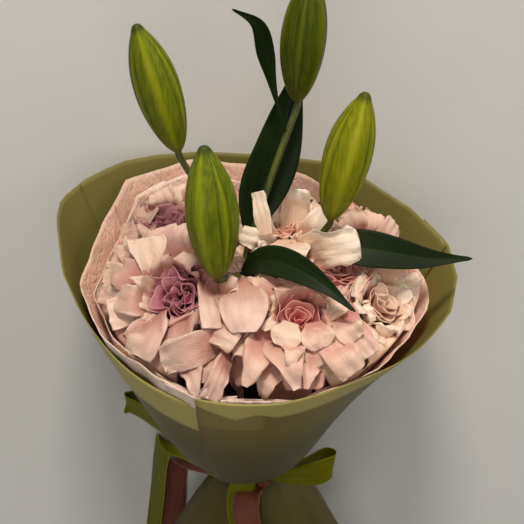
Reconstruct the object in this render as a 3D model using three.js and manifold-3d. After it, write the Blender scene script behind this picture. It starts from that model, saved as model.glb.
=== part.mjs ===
// A wrapped bouquet: eight reflexed roses and one lily stem with four buds, in pink tissue and olive film,
// tied with a green and a pink ribbon. It lies on its back, resting on the back of the wrap and on the skirt.
//
// It is modelled upright in the bouquet's own frame, in millimetres: +Z runs up the stems, -Y is the front,
// and the origin is on the stems' axis where the bowl of the wrap begins. A group then lays it down.

import * as THREE from "three";
import { mergeVertices } from "three/addons/utils/BufferGeometryUtils.js";
import Module from "manifold-3d";

const wasm = await Module();
wasm.setup();

// Driving dimensions of the wrap

const COLUMNS = 30; // all sheets share these columns round the axis, so that nested sheets never cross
const SHEET_THICKNESS = 0.8;
const LAYER_STEP = 1.4; // from one sheet of a family to the next, along the surface normal
const SKIRT_FLARE = 0.55; // the lower, the sooner the skirt widens below the tie
const NECK_HEIGHT = 48; // the straight, tied stretch below the bowl
const PLEATS = 6;
const BOWL_PLEAT = 7; // how far the pleats stand out, half way up the bowl
const PINCH = { facing: 322, low: 0.15, high: 0.35 }; // where the bowl is drawn in, and how far low down and up
const NECK_SHARE = 0.12; // the part of a sheet's height that is its neck
const WRAP_PLACES = [-1, -0.5, 0, NECK_SHARE, 0.28, 0.46, 0.64, 0.82, 1]; // the rows of a sheet, skirt to rim
const TISSUE_ROOM = 2.6; // from the table to the tissue, which the film keeps off it

// Rims of the two families, every 30 degrees from the right (+X) round by the back (+Y).
const FILM = {
  foot: -6, // where the neck opens into the bowl
  neckRadius: 19.6,
  rimRadius: [168, 152, 149, 143, 152, 166, 170, 155, 150, 157, 152, 158],
  rimHeight: [190, 203, 216, 222, 229, 235, 233, 209, 196, 192, 190, 187],
  bottom: -170,
  skirtWidth: 84, // from the axis to the side
  skirtDepth: 66, // from the axis to the front and the back
  skirtPleat: 5,
};
const TISSUE = {
  foot: 0,
  neckRadius: 15.2,
  rimRadius: [141, 123, 120, 119, 128, 139, 140, 145, 139, 138, 139, 139],
  rimHeight: [190, 206, 218, 224, 231, 230, 222, 204, 190, 176, 181, 184],
  bottom: -96,
  skirtWidth: 34,
  skirtDepth: 26,
  skirtPleat: 2,
};

// From one angle round the axis to another. cut is the share of its last row that is cut away.
const SHEETS = [
  { name: "tissue_back", family: TISSUE, from: 24, to: 156, layer: 0, room: TISSUE_ROOM },
  { name: "tissue_left", family: TISSUE, from: 132, to: 264, layer: 1, room: TISSUE_ROOM },
  { name: "tissue_right", family: TISSUE, from: 240, to: 384, layer: 2, room: TISSUE_ROOM },
  { name: "film_back", family: FILM, from: 12, to: 156, layer: 0, room: 0 },
  {
    name: "film_left",
    family: FILM,
    from: 144,
    to: 288,
    layer: 1,
    room: 0,
    cut: (degrees) => 0.5 * THREE.MathUtils.smoothstep(degrees, 190, 250),
  },
  { name: "film_right", family: FILM, from: 252, to: 384, layer: 2, room: 0 },
];

// How it lies: the table touches the back of the film's rim and the back of the skirt's end.
const TABLE_AT_RIM = { y: 131, z: 218 };
const TABLE_AT_SKIRT = { y: 58, z: FILM.bottom };
const LIE_TILT = Math.atan2(TABLE_AT_RIM.y - TABLE_AT_SKIRT.y, TABLE_AT_RIM.z - TABLE_AT_SKIRT.z);
const TABLE_NORMAL = new THREE.Vector3(0, Math.cos(LIE_TILT), -Math.sin(LIE_TILT));
const TABLE_DISTANCE = TABLE_AT_RIM.y * TABLE_NORMAL.y + TABLE_AT_RIM.z * TABLE_NORMAL.z;

// Driving dimensions of the flowers. Places are of the middle of each bloom's top.

const ROSES = [
  { at: [-68, -52, 217], faces: [-0.25, -0.52, 0.82], turn: 10 },
  { at: [36, -79, 217], faces: [0.12, -0.36, 0.92], turn: 40 },
  { at: [-82, 50, 216], faces: [-0.34, 0.1, 0.94], turn: 75 },
  { at: [25, 22, 232], faces: [0.02, -0.2, 0.98], turn: 20 },
  { at: [68, -26, 226], faces: [0.2, -0.2, 0.95], turn: 55 },
  { at: [110, -46, 203], faces: [0.5, -0.3, 0.8], turn: 0 },
  { at: [94, 44, 212], faces: [0.4, 0.12, 0.9], turn: 30 },
  { at: [-20, 88, 214], faces: [-0.05, 0.22, 0.97], turn: 65 },
];
const HEART_TOP = 38; // from the foot of a bloom to the top of its heart
const HEART_LIFT = 12.6; // the heart stands this far above the foot, in the cup
const PETAL_THICKNESS = 0.7;
const PETAL_TWIST = 0.26; // one side of each petal lies over its neighbour, and the other under
const PETAL_FOLD = 0.42; // how far its sides fold back towards the tip, as a share of its half width
const PETAL_LIFT = 20; // a crowded petal stands up instead of lying out
const WALL_PRESS = 8; // petals press this far against the tissue before they are held up by it
const OVERREACH = 3; // and this far against a neighbour
const ROOM_TOP = 330; // well above every bloom
const PETAL_LAYERS = [
  {
    petals: 4,
    // radius, height and half width of each row, from root to tip
    rows: [[12, 13, 5], [25, 30, 17], [40, 34, 19], [53, 22, 0]],
  },
  {
    petals: 5,
    rows: [[11, 8, 4], [28, 18, 16], [46, 20, 20], [63, 3, 0]],
  },
  {
    petals: 5,
    rows: [[10, 3, 4], [28, 4, 15], [48, -1, 19], [63, -24, 0]],
  },
];
const HEART_SIDES = 12;
const HEART_RINGS = [
  // radius, height above the heart's own foot, how far the swirl shifts it, petals round the ring
  [10.6, 0, 0, 1],
  [15.4, 10, 0, 1],
  [19, 23.5, 2.2, 3],
  [14.6, 14.5, 0.8, 3],
  [13, 25, 1.8, 3],
  [8.6, 16, 0.8, 3],
  [7.4, 24, 1.4, 2],
  [3, 18, 0, 2],
];
const ROSE_STEM_RADIUS = 2.9;
const LILY_STEM_RADIUS = 4.5;
const PEDICEL_RADIUS = 3.3;
const STEM_RING = 8.9; // the rose stems stand on this ring round the lily stem where they are bound
const STEM_SAG = 12; // how far they hang below a straight way from bloom to binding
const STEM_FAN = 26; // how far they spread again at their cut ends
const STEM_TWIST = 0.35; // the turn of the spiral that they are bound in, in radians
const STEM_END = -158;
const SEPALS = 4;
const SEAT_GAP = 0.35; // between pieces that touch

const BUD_SIDES = 12;
const BUD_PROFILE = [
  // share of the length, share of the greatest radius
  [0, 0.2], [0.04, 0.4], [0.15, 0.68], [0.32, 0.92], [0.5, 1], [0.68, 0.9], [0.84, 0.64], [0.95, 0.34], [1, 0.12],
];
const BUDS = [
  { name: "lily_bud_left", base: [-63, 11, 313], tip: [-92, 20, 423], radius: 19 },
  { name: "lily_bud_centre", base: [-31, -55, 234], tip: [-40, -32, 346], radius: 21.5 },
  { name: "lily_bud_top", base: [33.5, 40, 342], tip: [43.5, 52, 453], radius: 18.5 },
  { name: "lily_bud_right", base: [61, -10, 260], tip: [86, 0, 374], radius: 20 },
];
const LILY_NODE = [-15, -21, 203]; // where the bud stalks leave the main stem
const STALK_LINES = [
  // up to where the stalk straightens below its bud
  [[-15, -21, 196], [-24, -6, 235], [-44, 7, 272]],
  [[-15, -21, 200], [-20, -36, 210]],
  [[-15, -21, 198], [-5, -6, 232], [14, 18, 285]],
  [[-15, -21, 200], [8, -23, 210], [36, -15, 225]],
];
const LILY_LEAVES = [
  // midline, half width at the widest, and the way the upper face looks
  {
    line: [[-13, -23, 208], [2, -31, 231], [25, -48, 241], [52, -70, 240], [79, -91, 228]],
    halfWidth: 14,
    up: [-0.3, -0.5, 1],
  },
  {
    line: [[50, -14, 236], [74, -22, 240], [102, -26, 238], [140, -27, 231], [179, -24, 228]],
    halfWidth: 16,
    up: [0, -0.65, 0.75],
  },
  {
    line: [[-5, -5, 232], [2, 16, 258], [12, 36, 292], [22, 55, 330], [33, 70, 368]],
    halfWidth: 19,
    up: [0, -1, 0.25],
  },
  {
    line: [[24, 30, 318], [15, 39, 350], [8, 41, 384], [1, 38, 413], [-18, 30, 431]],
    halfWidth: 8.5,
    up: [0.45, -0.85, 0.1],
  },
];

const LEAF_OUTLINE = [0.3, 0.8, 1, 0.94, 0.7, 0.38, 0.05]; // share of the half width, root to tip

// Driving dimensions of the ribbons and the binding

const RIBBON_WIDTH = 24;
const GATHER = 0.4; // the share of its width that a ribbon keeps in the knot
const GATHER_SPREAD = 1.7; // how soon it opens out again along its length
const RIBBON_THICKNESS = 0.8;
const GREEN_ROOM = 1.2; // from the table to the upper face of a ribbon that lies on it
const PINK_ROOM = 2.6; // it lies over the green one
const GREEN_BAND = { inner: 24.4, outer: 25.4, bottom: -31, top: -11 };
const PINK_BAND = { inner: 24.4, outer: 25.4, bottom: -46, top: -35 };
const BINDING = { inner: 12.4, outer: 15.4, bottom: -22, top: -6 };
const BAND_SIDES = 16;
const GREEN_KNOT = { at: [0, -30, -20], radii: [10, 5.6, 10.6] };
const PINK_KNOT = { at: [4, -28, -41], radii: [7, 5, 5] };

// The way of each loop and tail, and where its width points at each of those places.
const GREEN_LOOPS = [
  {
    line: [[-3, -32, -20], [-38, -28, -11], [-74, -4, 5], [-108, 26, 16], [-124, 40, 18], [-108, 48, 8],
      [-72, 22, -16], [-38, -14, -26], [-3, -28, -22]],
    sides: [[0, 0, 1], [0, 0, 1], [0, -0.1, 1], [0.1, -0.2, 1], [0.1, -0.2, 1], [0.1, 0, 1], [0, 0, 1], [0, 0, 1],
      [0, 0, 1]],
  },
  {
    line: [[3, -32, -20], [28, -46, -12], [54, -50, -3], [70, -42, 0], [64, -30, -6], [40, -27, -17],
      [3, -28, -22]],
    sides: [[0, 0, 1], [0, 0.3, 1], [0, 0.4, 1], [0.2, 0.3, 1], [0.2, 0.2, 1], [0, 0, 1], [0, 0, 1]],
  },
];
const GREEN_TAILS = [
  {
    line: [[-3, -30, -22], [-30, -25, -29], [-56, -4, -29], [-76, 22, -40], [-90, 46, -60], [-97, 54, -94],
      [-102, 52, -140], [-109, 47, -194]],
    sides: [[0, 0, 1], [0, 0, 1], [0.2, -0.1, 0.9], [0.4, -0.4, 0.6], [0.6, -0.6, 0.3], [0.6, -0.8, 0],
      [0.6, -0.8, 0], [0.6, -0.8, 0]],
  },
  {
    line: [[-4, -31, -24], [-12, -36, -44], [-13, -43, -62], [-9, -57, -96], [-5, -67.5, -140]],
    sides: [[0.9, 0, 0.3], [1, 0, 0.2], [1, -0.2, 0], [1, -0.1, 0], [1, 0, 0]],
  },
];
const PINK_TAILS = [
  {
    line: [[4, -28, -40], [-10, -28, -42], [-24, -17, -42], [-44, 2, -46], [-66, 30, -66], [-80, 60, -100],
      [-84, 66, -128], [-86, 62, -160], [-90, 56, -200]],
    sides: [[0, 0, 1], [0, 0, 1], [0, 0, 1], [0.2, 0, 1], [0.6, 0, 0.6], [1, 0, 0.2], [1, 0, 0.1], [1, 0, 0],
      [1, 0, 0]],
  },
  {
    line: [[8, -33, -42], [1, -51, -49], [-4, -64, -68], [2, -74, -112], [11, -81, -172]],
    sides: [[0.9, 0, 0.3], [1, 0, 0.1], [1, 0.1, 0], [1, 0.1, 0], [1, 0.1, 0]],
  },
];

const COLOURS = {
  film: new THREE.MeshStandardMaterial({ color: 0x8a8a4c, roughness: 0.5, metalness: 0 }),
  tissue: new THREE.MeshStandardMaterial({ color: 0xe6b9a6, roughness: 0.85, metalness: 0 }),
  petal: new THREE.MeshStandardMaterial({ color: 0xeec4b6, roughness: 0.65, metalness: 0 }),
  heart: new THREE.MeshStandardMaterial({ color: 0xb06a86, roughness: 0.65, metalness: 0 }),
  roseStem: new THREE.MeshStandardMaterial({ color: 0x4c5a2c, roughness: 0.6, metalness: 0 }),
  lilyStem: new THREE.MeshStandardMaterial({ color: 0x1e3a18, roughness: 0.45, metalness: 0 }),
  bud: new THREE.MeshStandardMaterial({ color: 0x7d8c22, roughness: 0.5, metalness: 0 }),
  greenRibbon: new THREE.MeshStandardMaterial({ color: 0x96a51e, roughness: 0.35, metalness: 0 }),
  pinkRibbon: new THREE.MeshStandardMaterial({ color: 0xa8675c, roughness: 0.5, metalness: 0 }),
  cord: new THREE.MeshStandardMaterial({ color: 0xa58a60, roughness: 0.9, metalness: 0 }),
};

// Small helpers

const radians = THREE.MathUtils.degToRad;
const vector = (a) => new THREE.Vector3(...a);

// A repeatable random number from 0 to 1 for each seed.
function drawer(seed) {
  let state = seed * 7919 + 12345;
  return () => {
    state = (state * 1103515245 + 12345) % 2147483648;
    return state / 2147483648;
  };
}

// A value at an angle in degrees, read smoothly from a ring of evenly spaced values.
function ringValue(values, degrees) {
  const step = 360 / values.length;
  const place = (((degrees % 360) + 360) % 360) / step;
  const i = Math.floor(place);
  const t = place - i;
  const at = (k) => values[(i + k + values.length) % values.length];
  const [a, b, c, d] = [at(-1), at(0), at(1), at(2)];
  return b + 0.5 * t * (c - a + t * (2 * a - 5 * b + 4 * c - d + t * (3 * (b - c) + d - a)));
}

function solidFrom(geometry) {
  const bare = new THREE.BufferGeometry().setAttribute("position", geometry.getAttribute("position"));
  if (geometry.index) bare.setIndex(geometry.index);
  const merged = mergeVertices(bare, 1e-3);
  return new wasm.Manifold(
    new wasm.Mesh({
      numProp: 3,
      vertProperties: merged.attributes.position.array,
      triVerts: new Uint32Array(merged.index.array),
    }),
  );
}

function geometryFrom(solid) {
  const { vertProperties, triVerts } = solid.getMesh();
  const geometry = new THREE.BufferGeometry()
    .setAttribute("position", new THREE.BufferAttribute(vertProperties, 3))
    .setIndex(new THREE.BufferAttribute(triVerts, 1));
  geometry.computeVertexNormals();
  return geometry;
}

// Joins solids, and drops what is left loose.
function joined(solids) {
  const whole = solids.reduce((a, b) => a.add(b));
  return whole.decompose().sort((a, b) => b.volume() - a.volume())[0];
}

// A thin closed shell from a grid of points, rows by columns. It grows from the points against their normals.
// Both faces are split along the same diagonals. The last row may meet in one point.
function shell(grid, thickness, settle = (p) => p) {
  const rows = grid.length;
  const columns = grid[0].length;
  const at = (i, j) => grid[Math.max(0, Math.min(rows - 1, i))][Math.max(0, Math.min(columns - 1, j))];
  const points = [];
  const back = [];
  const pointed = (i) => at(i, 0).distanceTo(at(i, columns - 1)) < 1e-6;
  for (let i = 0; i < rows; i++) {
    for (let j = 0; j < columns; j++) {
      const along = at(i + 1, j).clone().sub(at(i - 1, j));
      const across = pointed(i)
        ? at(i - 1, columns - 1).clone().sub(at(i - 1, 0))
        : at(i, j + 1).clone().sub(at(i, j - 1));
      const normal = across.cross(along).normalize();
      points.push(settle(at(i, j).clone(), false));
      back.push(settle(at(i, j).clone().addScaledVector(normal, -thickness), true));
    }
  }
  const total = points.length;
  const index = [];
  const quad = (a, b, c, d) => index.push(a, b, c, a, c, d);
  for (let i = 0; i < rows - 1; i++) {
    for (let j = 0; j < columns - 1; j++) {
      const [a, b, c, d] = [i * columns + j, i * columns + j + 1, (i + 1) * columns + j + 1, (i + 1) * columns + j];
      quad(a, b, c, d);
      index.push(total + a, total + c, total + b, total + a, total + d, total + c);
    }
  }
  const edge = [];
  for (let j = 0; j < columns - 1; j++) edge.push(j);
  for (let i = 0; i < rows - 1; i++) edge.push(i * columns + columns - 1);
  for (let j = columns - 1; j > 0; j--) edge.push((rows - 1) * columns + j);
  for (let i = rows - 1; i > 0; i--) edge.push(i * columns);
  edge.forEach((a, k) => {
    const b = edge[(k + 1) % edge.length];
    quad(a, total + a, total + b, b);
  });
  const geometry = new THREE.BufferGeometry().setFromPoints([...points, ...back]).setIndex(index);
  return solidFrom(geometry);
}

// A closed solid from rings of points, one ring after another, with a last point at each end.
function ringsSolid(points, rings, sides, foot, head) {
  const index = [];
  const last = (rings - 1) * sides;
  for (let k = 0; k < sides; k++) {
    const n = (k + 1) % sides;
    index.push(foot, n, k);
    for (let i = 0; i < rings - 1; i++) {
      const [a, b, c, d] = [i * sides + k, i * sides + n, (i + 1) * sides + n, (i + 1) * sides + k];
      index.push(a, b, c, a, c, d);
    }
    index.push(head, last + k, last + n);
  }
  return solidFrom(new THREE.BufferGeometry().setFromPoints(points).setIndex(index));
}

// A round stem of one radius along a smooth curve, with a ring at each of its points.
function stem(points, radius, sides) {
  const outline = new THREE.Shape(
    Array.from({ length: sides }, (_, k) => {
      const a = (2 * Math.PI * k) / sides;
      return new THREE.Vector2(radius * Math.cos(a), radius * Math.sin(a));
    }),
  );
  const path = new THREE.CatmullRomCurve3(points.map(vector));
  path.getPointAt = path.getPoint;
  path.getTangentAt = path.getTangent;
  const steps = points.length - 1;
  return solidFrom(new THREE.ExtrudeGeometry(outline, { extrudePath: path, steps, bevelEnabled: false }));
}

function ring({ inner, outer, bottom, top }, sides) {
  const profile = [[inner, bottom], [outer, bottom], [outer, top], [inner, top], [inner, bottom]];
  const turned = new THREE.LatheGeometry(profile.map((p) => new THREE.Vector2(...p)), sides);
  return solidFrom(turned.rotateX(Math.PI / 2));
}

// The wrap

// The rim's own radius and height at an angle, and how full the bowl is: it bulges at the front, and it is
// drawn in towards the right of the front.
function bowlProfile(family, degrees) {
  const front = Math.max(0, -Math.sin(radians(degrees))) ** 2;
  const radius = ringValue(family.rimRadius, degrees);
  const height = ringValue(family.rimHeight, degrees);
  const pinch = Math.max(0, Math.cos(radians(degrees - PINCH.facing))) ** 4;
  const { neckRadius: neck, foot } = family;
  const out = (share) => neck + share * (radius - neck);
  return new THREE.CubicBezierCurve(
    new THREE.Vector2(neck, foot),
    new THREE.Vector2(out(0.36 + 0.12 * front - PINCH.low * pinch), foot),
    new THREE.Vector2(out(0.7 + 0.24 * front - PINCH.high * pinch), foot + (0.49 - 0.07 * front) * (height - foot)),
    new THREE.Vector2(radius, height),
  );
}

// A point of a family's surface: place is -1 at the skirt's end, 0 to 0.12 along the neck, and 1 at the rim.
function wrapPoint(family, degrees, place) {
  const a = radians(degrees);
  let radius;
  let height;
  if (place < 0) {
    const t = -place;
    height = -NECK_HEIGHT + t * (family.bottom + NECK_HEIGHT);
    const end = Math.hypot(family.skirtWidth * Math.cos(a), family.skirtDepth * Math.sin(a));
    radius = family.neckRadius + (end - family.neckRadius) * t ** SKIRT_FLARE;
    radius += family.skirtPleat * t * Math.cos(PLEATS * a);
  } else if (place <= NECK_SHARE) {
    height = THREE.MathUtils.lerp(-NECK_HEIGHT, family.foot, place / NECK_SHARE);
    radius = family.neckRadius;
  } else {
    const t = (place - NECK_SHARE) / (1 - NECK_SHARE);
    const at = bowlProfile(family, degrees).getPoint(t);
    height = at.y;
    radius = at.x + 4 * BOWL_PLEAT * (t * (1 - t)) ** 2 * Math.cos(PLEATS * a);
  }
  return new THREE.Vector3(radius * Math.cos(a), radius * Math.sin(a), height);
}

// The outward normal of a family's surface, from its neighbours.
function wrapNormal(family, degrees, place) {
  const step = 0.01;
  const along = wrapPoint(family, degrees, Math.min(1, place + step)).sub(
    wrapPoint(family, degrees, Math.max(-1, place - step)),
  );
  const across = wrapPoint(family, degrees + 1, place).sub(wrapPoint(family, degrees - 1, place));
  return across.cross(along).normalize();
}

// Nothing of the bouquet reaches below the table, less the room that the sheets outside it take.
function onTable(point, room) {
  const over = point.dot(TABLE_NORMAL) - (TABLE_DISTANCE - room);
  return over > 0 ? point.addScaledVector(TABLE_NORMAL, -over) : point;
}

// One sheet, from one angle to another, on its own layer. cut is the share of its last row that is cut away.
function wrapSheet(family, { from, to, layer, room, cut = () => 0 }) {
  const grid = WRAP_PLACES.map((place) => {
    const row = [];
    for (let degrees = from; degrees <= to; degrees += 360 / COLUMNS) {
      const point = wrapPoint(family, degrees, place);
      row.push(point.addScaledVector(wrapNormal(family, degrees, place), (layer + 1) * LAYER_STEP));
    }
    return row;
  });
  const [below, rim] = grid.slice(-2);
  rim.forEach((point, k) => point.lerp(below[k], cut(from + (360 / COLUMNS) * k)));
  const settle = (point, inner) => onTable(point, inner ? room + SHEET_THICKNESS : room);
  return shell(grid, SHEET_THICKNESS, settle);
}

// The room inside the tissue, which the flowers fill. It goes on above the rim.
function bowlRoom() {
  const places = WRAP_PLACES.filter((place) => place >= NECK_SHARE);
  const inset = LAYER_STEP - SHEET_THICKNESS - SEAT_GAP;
  const rings = places.map((place) =>
    Array.from({ length: COLUMNS }, (_, k) => {
      const degrees = (360 / COLUMNS) * k;
      return wrapPoint(TISSUE, degrees, place).addScaledVector(wrapNormal(TISSUE, degrees, place), inset);
    }),
  );
  const top = rings[rings.length - 1].map((p) => new THREE.Vector3(p.x, p.y, ROOM_TOP));
  rings.push(top);
  rings.forEach((points) => points.forEach((p) => onTable(p, TISSUE_ROOM + SHEET_THICKNESS + SEAT_GAP)));
  const all = rings.flat();
  const foot = all.push(new THREE.Vector3(0, 0, rings[0][0].z)) - 1;
  const head = all.push(new THREE.Vector3(0, 0, top[0].z)) - 1;
  return ringsSolid(all, rings.length, COLUMNS, foot, head);
}

// Roses

// The frame of a bloom: its own +Z is the way it faces, and its origin is its foot.
function bloomFrame({ at, faces, turn }) {
  const up = vector(faces).normalize();
  const foot = vector(at).addScaledVector(up, -HEART_TOP);
  const side = new THREE.Vector3(0, 1, 0).cross(up).normalize();
  const frame = new THREE.Matrix4().makeBasis(side, up.clone().cross(side), up);
  frame.multiply(new THREE.Matrix4().makeRotationZ(radians(turn)));
  return { frame: frame.setPosition(foot), up, foot, top: vector(at) };
}

// The planes that part a bloom from its neighbours and from the tissue, with their normals pointing away.
function borders(bloom, blooms) {
  const planes = blooms
    .filter((other) => other !== bloom)
    .map((other) => {
      const normal = other.top.clone().sub(bloom.top);
      const half = normal.length() / 2;
      normal.normalize();
      return { normal, offset: normal.dot(bloom.top) + half - SEAT_GAP / 2 };
    });
  const facing = THREE.MathUtils.radToDeg(Math.atan2(bloom.top.y, bloom.top.x));
  for (const turn of [-40, -15, 15, 40]) {
    const degrees = facing + turn;
    const normal = new THREE.Vector3(Math.cos(radians(degrees)), Math.sin(radians(degrees)), 0);
    planes.push({ normal, offset: ringValue(TISSUE.rimRadius, degrees) + WALL_PRESS, wall: true });
  }
  return planes;
}

// How much of a petal's reach is free in a direction, from 0 to 1.
function freeShare(bloom, direction, planes, reach) {
  let share = 1;
  for (const { normal, offset } of planes) {
    const slope = normal.dot(direction);
    const free = (offset - normal.dot(bloom.top) + OVERREACH) / slope;
    if (slope > 0.15) share = Math.min(share, free / reach);
  }
  return share;
}

// One reflexed petal as a curved blade: its sides fold back, and its tip is drawn to a point.
function petal(layer, angle, share, draw) {
  const length = THREE.MathUtils.clamp(share, 0.5, 1) * (0.94 + 0.1 * draw());
  const twist = PETAL_TWIST * (0.8 + 0.4 * draw());
  const grid = layer.rows.map(([radius, height, halfWidth], i) => {
    const t = i / (layer.rows.length - 1);
    const root = layer.rows[Math.min(i, 1)][0];
    const out = root + (radius - root) * length;
    const up = height + PETAL_LIFT * (1 - length) * t;
    const fold = halfWidth * (0.1 + PETAL_FOLD * t);
    return [1, 0, -1].map((k) => {
      const drop = k === 0 ? 0 : fold + k * twist * halfWidth;
      return new THREE.Vector3(out - 0.25 * Math.abs(k) * fold, k * halfWidth, up - drop);
    });
  });
  return shell(grid, PETAL_THICKNESS).rotate([0, 0, THREE.MathUtils.radToDeg(angle)]);
}

// The cup that carries the petals and holds the heart.
function cup() {
  const profile = [[0, 0], [9, 0], [14, 9], [14, 15], [12, 12.3], [0, 12.3]];
  const turned = new THREE.LatheGeometry(profile.map((p) => new THREE.Vector2(...p)), 7);
  return solidFrom(turned.rotateX(Math.PI / 2));
}

// The tight middle of a bloom, raised by a formula: rings of crests and grooves, each crest broken into petals
// that start one behind the other, so that they read as a swirl.
function heart(draw) {
  const spin = draw();
  const points = HEART_RINGS.flatMap(([radius, height, shift, petals], i) =>
    Array.from({ length: HEART_SIDES }, (_, k) => {
      const turn = k / HEART_SIDES;
      const along = (turn * petals + spin + 0.35 * i) % 1; // from the start of one petal to its end
      const r = radius - shift * along;
      const z = height - 1.4 * shift * (1 - Math.sin(Math.PI * Math.min(1, along + 0.15)));
      return new THREE.Vector3(r * Math.cos(2 * Math.PI * turn), r * Math.sin(2 * Math.PI * turn), z);
    }),
  );
  const foot = points.push(new THREE.Vector3(0, 0, HEART_RINGS[0][1])) - 1;
  const middle = points.push(new THREE.Vector3(0, 0, 20)) - 1;
  return ringsSolid(points, HEART_RINGS.length, HEART_SIDES, foot, middle).translate([0, 0, HEART_LIFT]);
}

function roseStem(bloom, neckAngle) {
  const below = bloom.foot.clone().addScaledVector(bloom.up, -SEAT_GAP);
  const hip = bloom.foot.clone().addScaledVector(bloom.up, -16);
  const out = new THREE.Vector3(Math.cos(neckAngle), Math.sin(neckAngle), 0);
  const at = (radius, height) => out.clone().multiplyScalar(radius).setZ(height).toArray();
  const gather = vector(at(STEM_RING + 5, 26)); // just above the binding
  const sagging = (share) => {
    const point = hip.clone().lerp(gather, share);
    point.z -= STEM_SAG * Math.sin(Math.PI * share);
    return point.toArray();
  };
  const endAngle = neckAngle + STEM_TWIST;
  const end = new THREE.Vector3(STEM_FAN * Math.cos(endAngle), STEM_FAN * Math.sin(endAngle), STEM_END);
  onTable(end, ROSE_STEM_RADIUS + 9);
  const line = [
    below.toArray(), hip.toArray(), sagging(0.35), sagging(0.7), gather.toArray(), at(STEM_RING, 0),
    at(STEM_RING, -26), end.toArray(),
  ];
  const stalk = stem(line, ROSE_STEM_RADIUS, 5);
  const sepals = Array.from({ length: SEPALS }, (_, k) => {
    const a = (2 * Math.PI * k) / SEPALS;
    const rows = [[2, -4, 2.5], [9, -4.5, 3.6], [15, -13, 0]];
    const grid = rows.map(([radius, height, halfWidth]) =>
      [1, -1].map((s) => new THREE.Vector3(radius, s * halfWidth, height)),
    );
    return shell(grid, 0.9).rotate([0, 0, THREE.MathUtils.radToDeg(a)]);
  });
  const hipProfile = [[0, -13], [6.2, -7], [6.4, -SEAT_GAP], [0, -SEAT_GAP]];
  const swelling = new THREE.LatheGeometry(hipProfile.map((p) => new THREE.Vector2(...p)), 6);
  const calyx = joined([solidFrom(swelling.rotateX(Math.PI / 2)), ...sepals]).transform(bloom.frame.elements);
  return joined([calyx, stalk]);
}

// The lily

// A closed bud: six tepals lie edge to edge, and each outer one has a raised rib.
function lilyBud({ base, tip, radius }, grow = 0) {
  const axis = vector(tip).sub(vector(base));
  const length = axis.length();
  const sides = BUD_SIDES;
  const rings = BUD_PROFILE.map(([share, fullness]) =>
    Array.from({ length: sides }, (_, k) => {
      const a = (2 * Math.PI * k) / sides;
      const rib = 1 + 0.07 * Math.cos(3 * a) + 0.05 * Math.cos(6 * a);
      const r = radius * fullness * rib + grow;
      return new THREE.Vector3(r * Math.cos(a), r * Math.sin(a), share * length);
    }),
  );
  const turn = new THREE.Quaternion().setFromUnitVectors(new THREE.Vector3(0, 0, 1), axis.normalize());
  const all = rings.flat();
  const foot = all.push(new THREE.Vector3(0, 0, 0)) - 1;
  const head = all.push(new THREE.Vector3(0, 0, length + 1)) - 1;
  all.forEach((point) => point.applyQuaternion(turn).add(vector(base)));
  return ringsSolid(all, rings.length, sides, foot, head);
}

// A lance-shaped leaf along its midline, a little keeled.
function lilyLeaf({ line, halfWidth, up }, thickness) {
  const curve = new THREE.CatmullRomCurve3(line.map(vector));
  const last = LEAF_OUTLINE.length - 1;
  const grid = LEAF_OUTLINE.map((share, i) => {
    const at = curve.getPoint(i / last);
    const along = curve.getTangent(i / last);
    const across = along.clone().cross(vector(up)).normalize();
    const normal = across.clone().cross(along).normalize();
    return [1, 0, -1].map((k) =>
      at
        .clone()
        .addScaledVector(across, -k * share * halfWidth)
        .addScaledVector(normal, (k === 0 ? -0.16 : 0.08) * share * halfWidth + thickness / 2),
    );
  });
  return shell(grid, thickness);
}

// The main stem, the bud stalks and the leaves, as one. grow makes all of it thicker, to clear a way for it.
function lilyStem(grow = 0) {
  const main = [
    [0, 0, STEM_END], [0, 0, -90], [0, 0, -30], [0, 0, 0], [-3, -4, 60], [-10, -14, 130], LILY_NODE,
  ];
  const stalks = BUDS.map(({ base, tip }, i) => {
    const axis = vector(tip).sub(vector(base)).normalize();
    const below = (distance) => vector(base).addScaledVector(axis, -distance).toArray();
    return stem([...STALK_LINES[i], below(9), below(SEAT_GAP)], PEDICEL_RADIUS + grow, 5);
  });
  const leaves = LILY_LEAVES.map((leaf) => lilyLeaf(leaf, 1 + 2 * grow));
  return joined([stem(main, LILY_STEM_RADIUS + grow, 7), ...stalks, ...leaves]);
}

// Ribbons

// A flat ribbon along a smooth line, gathered where it leaves the knot: at its start, and at both ends of a loop.
// Its width points to sides, one direction for each point of the line. It lies no nearer the table than room.
function ribbon({ line, sides }, width, steps, room) {
  const path = new THREE.CatmullRomCurve3(line.map(vector));
  const widthWay = new THREE.CatmullRomCurve3(sides.map(vector));
  const isLoop = vector(line[0]).distanceTo(vector(line[line.length - 1])) < width;
  const grid = Array.from({ length: steps + 1 }, (_, i) => {
    const t = i / steps;
    const fromKnot = isLoop ? Math.min(t, 1 - t) : t;
    const halfWidth = (width / 2) * Math.min(1, GATHER + GATHER_SPREAD * fromKnot);
    const at = path.getPoint(t);
    const along = path.getTangent(t);
    const side = widthWay.getPoint(t);
    side.addScaledVector(along, -side.dot(along)).normalize();
    return [1, -1].map((k) => onTable(at.clone().addScaledVector(side, k * halfWidth), room));
  });
  return shell(grid, RIBBON_THICKNESS);
}

function knot({ at, radii }) {
  return solidFrom(new THREE.SphereGeometry(1, 6, 5).scale(...radii).translate(...at));
}

function greenBow() {
  const loops = GREEN_LOOPS.map((way) => ribbon(way, RIBBON_WIDTH, 10, GREEN_ROOM));
  const tails = GREEN_TAILS.map((way) => ribbon(way, RIBBON_WIDTH, 8, GREEN_ROOM));
  return joined([ring(GREEN_BAND, BAND_SIDES), knot(GREEN_KNOT), ...loops, ...tails]);
}

function pinkRibbon() {
  const tails = PINK_TAILS.map((way) => ribbon(way, RIBBON_WIDTH, 8, PINK_ROOM));
  return joined([ring(PINK_BAND, BAND_SIDES), knot(PINK_KNOT), ...tails]);
}

// Putting it together

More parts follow.
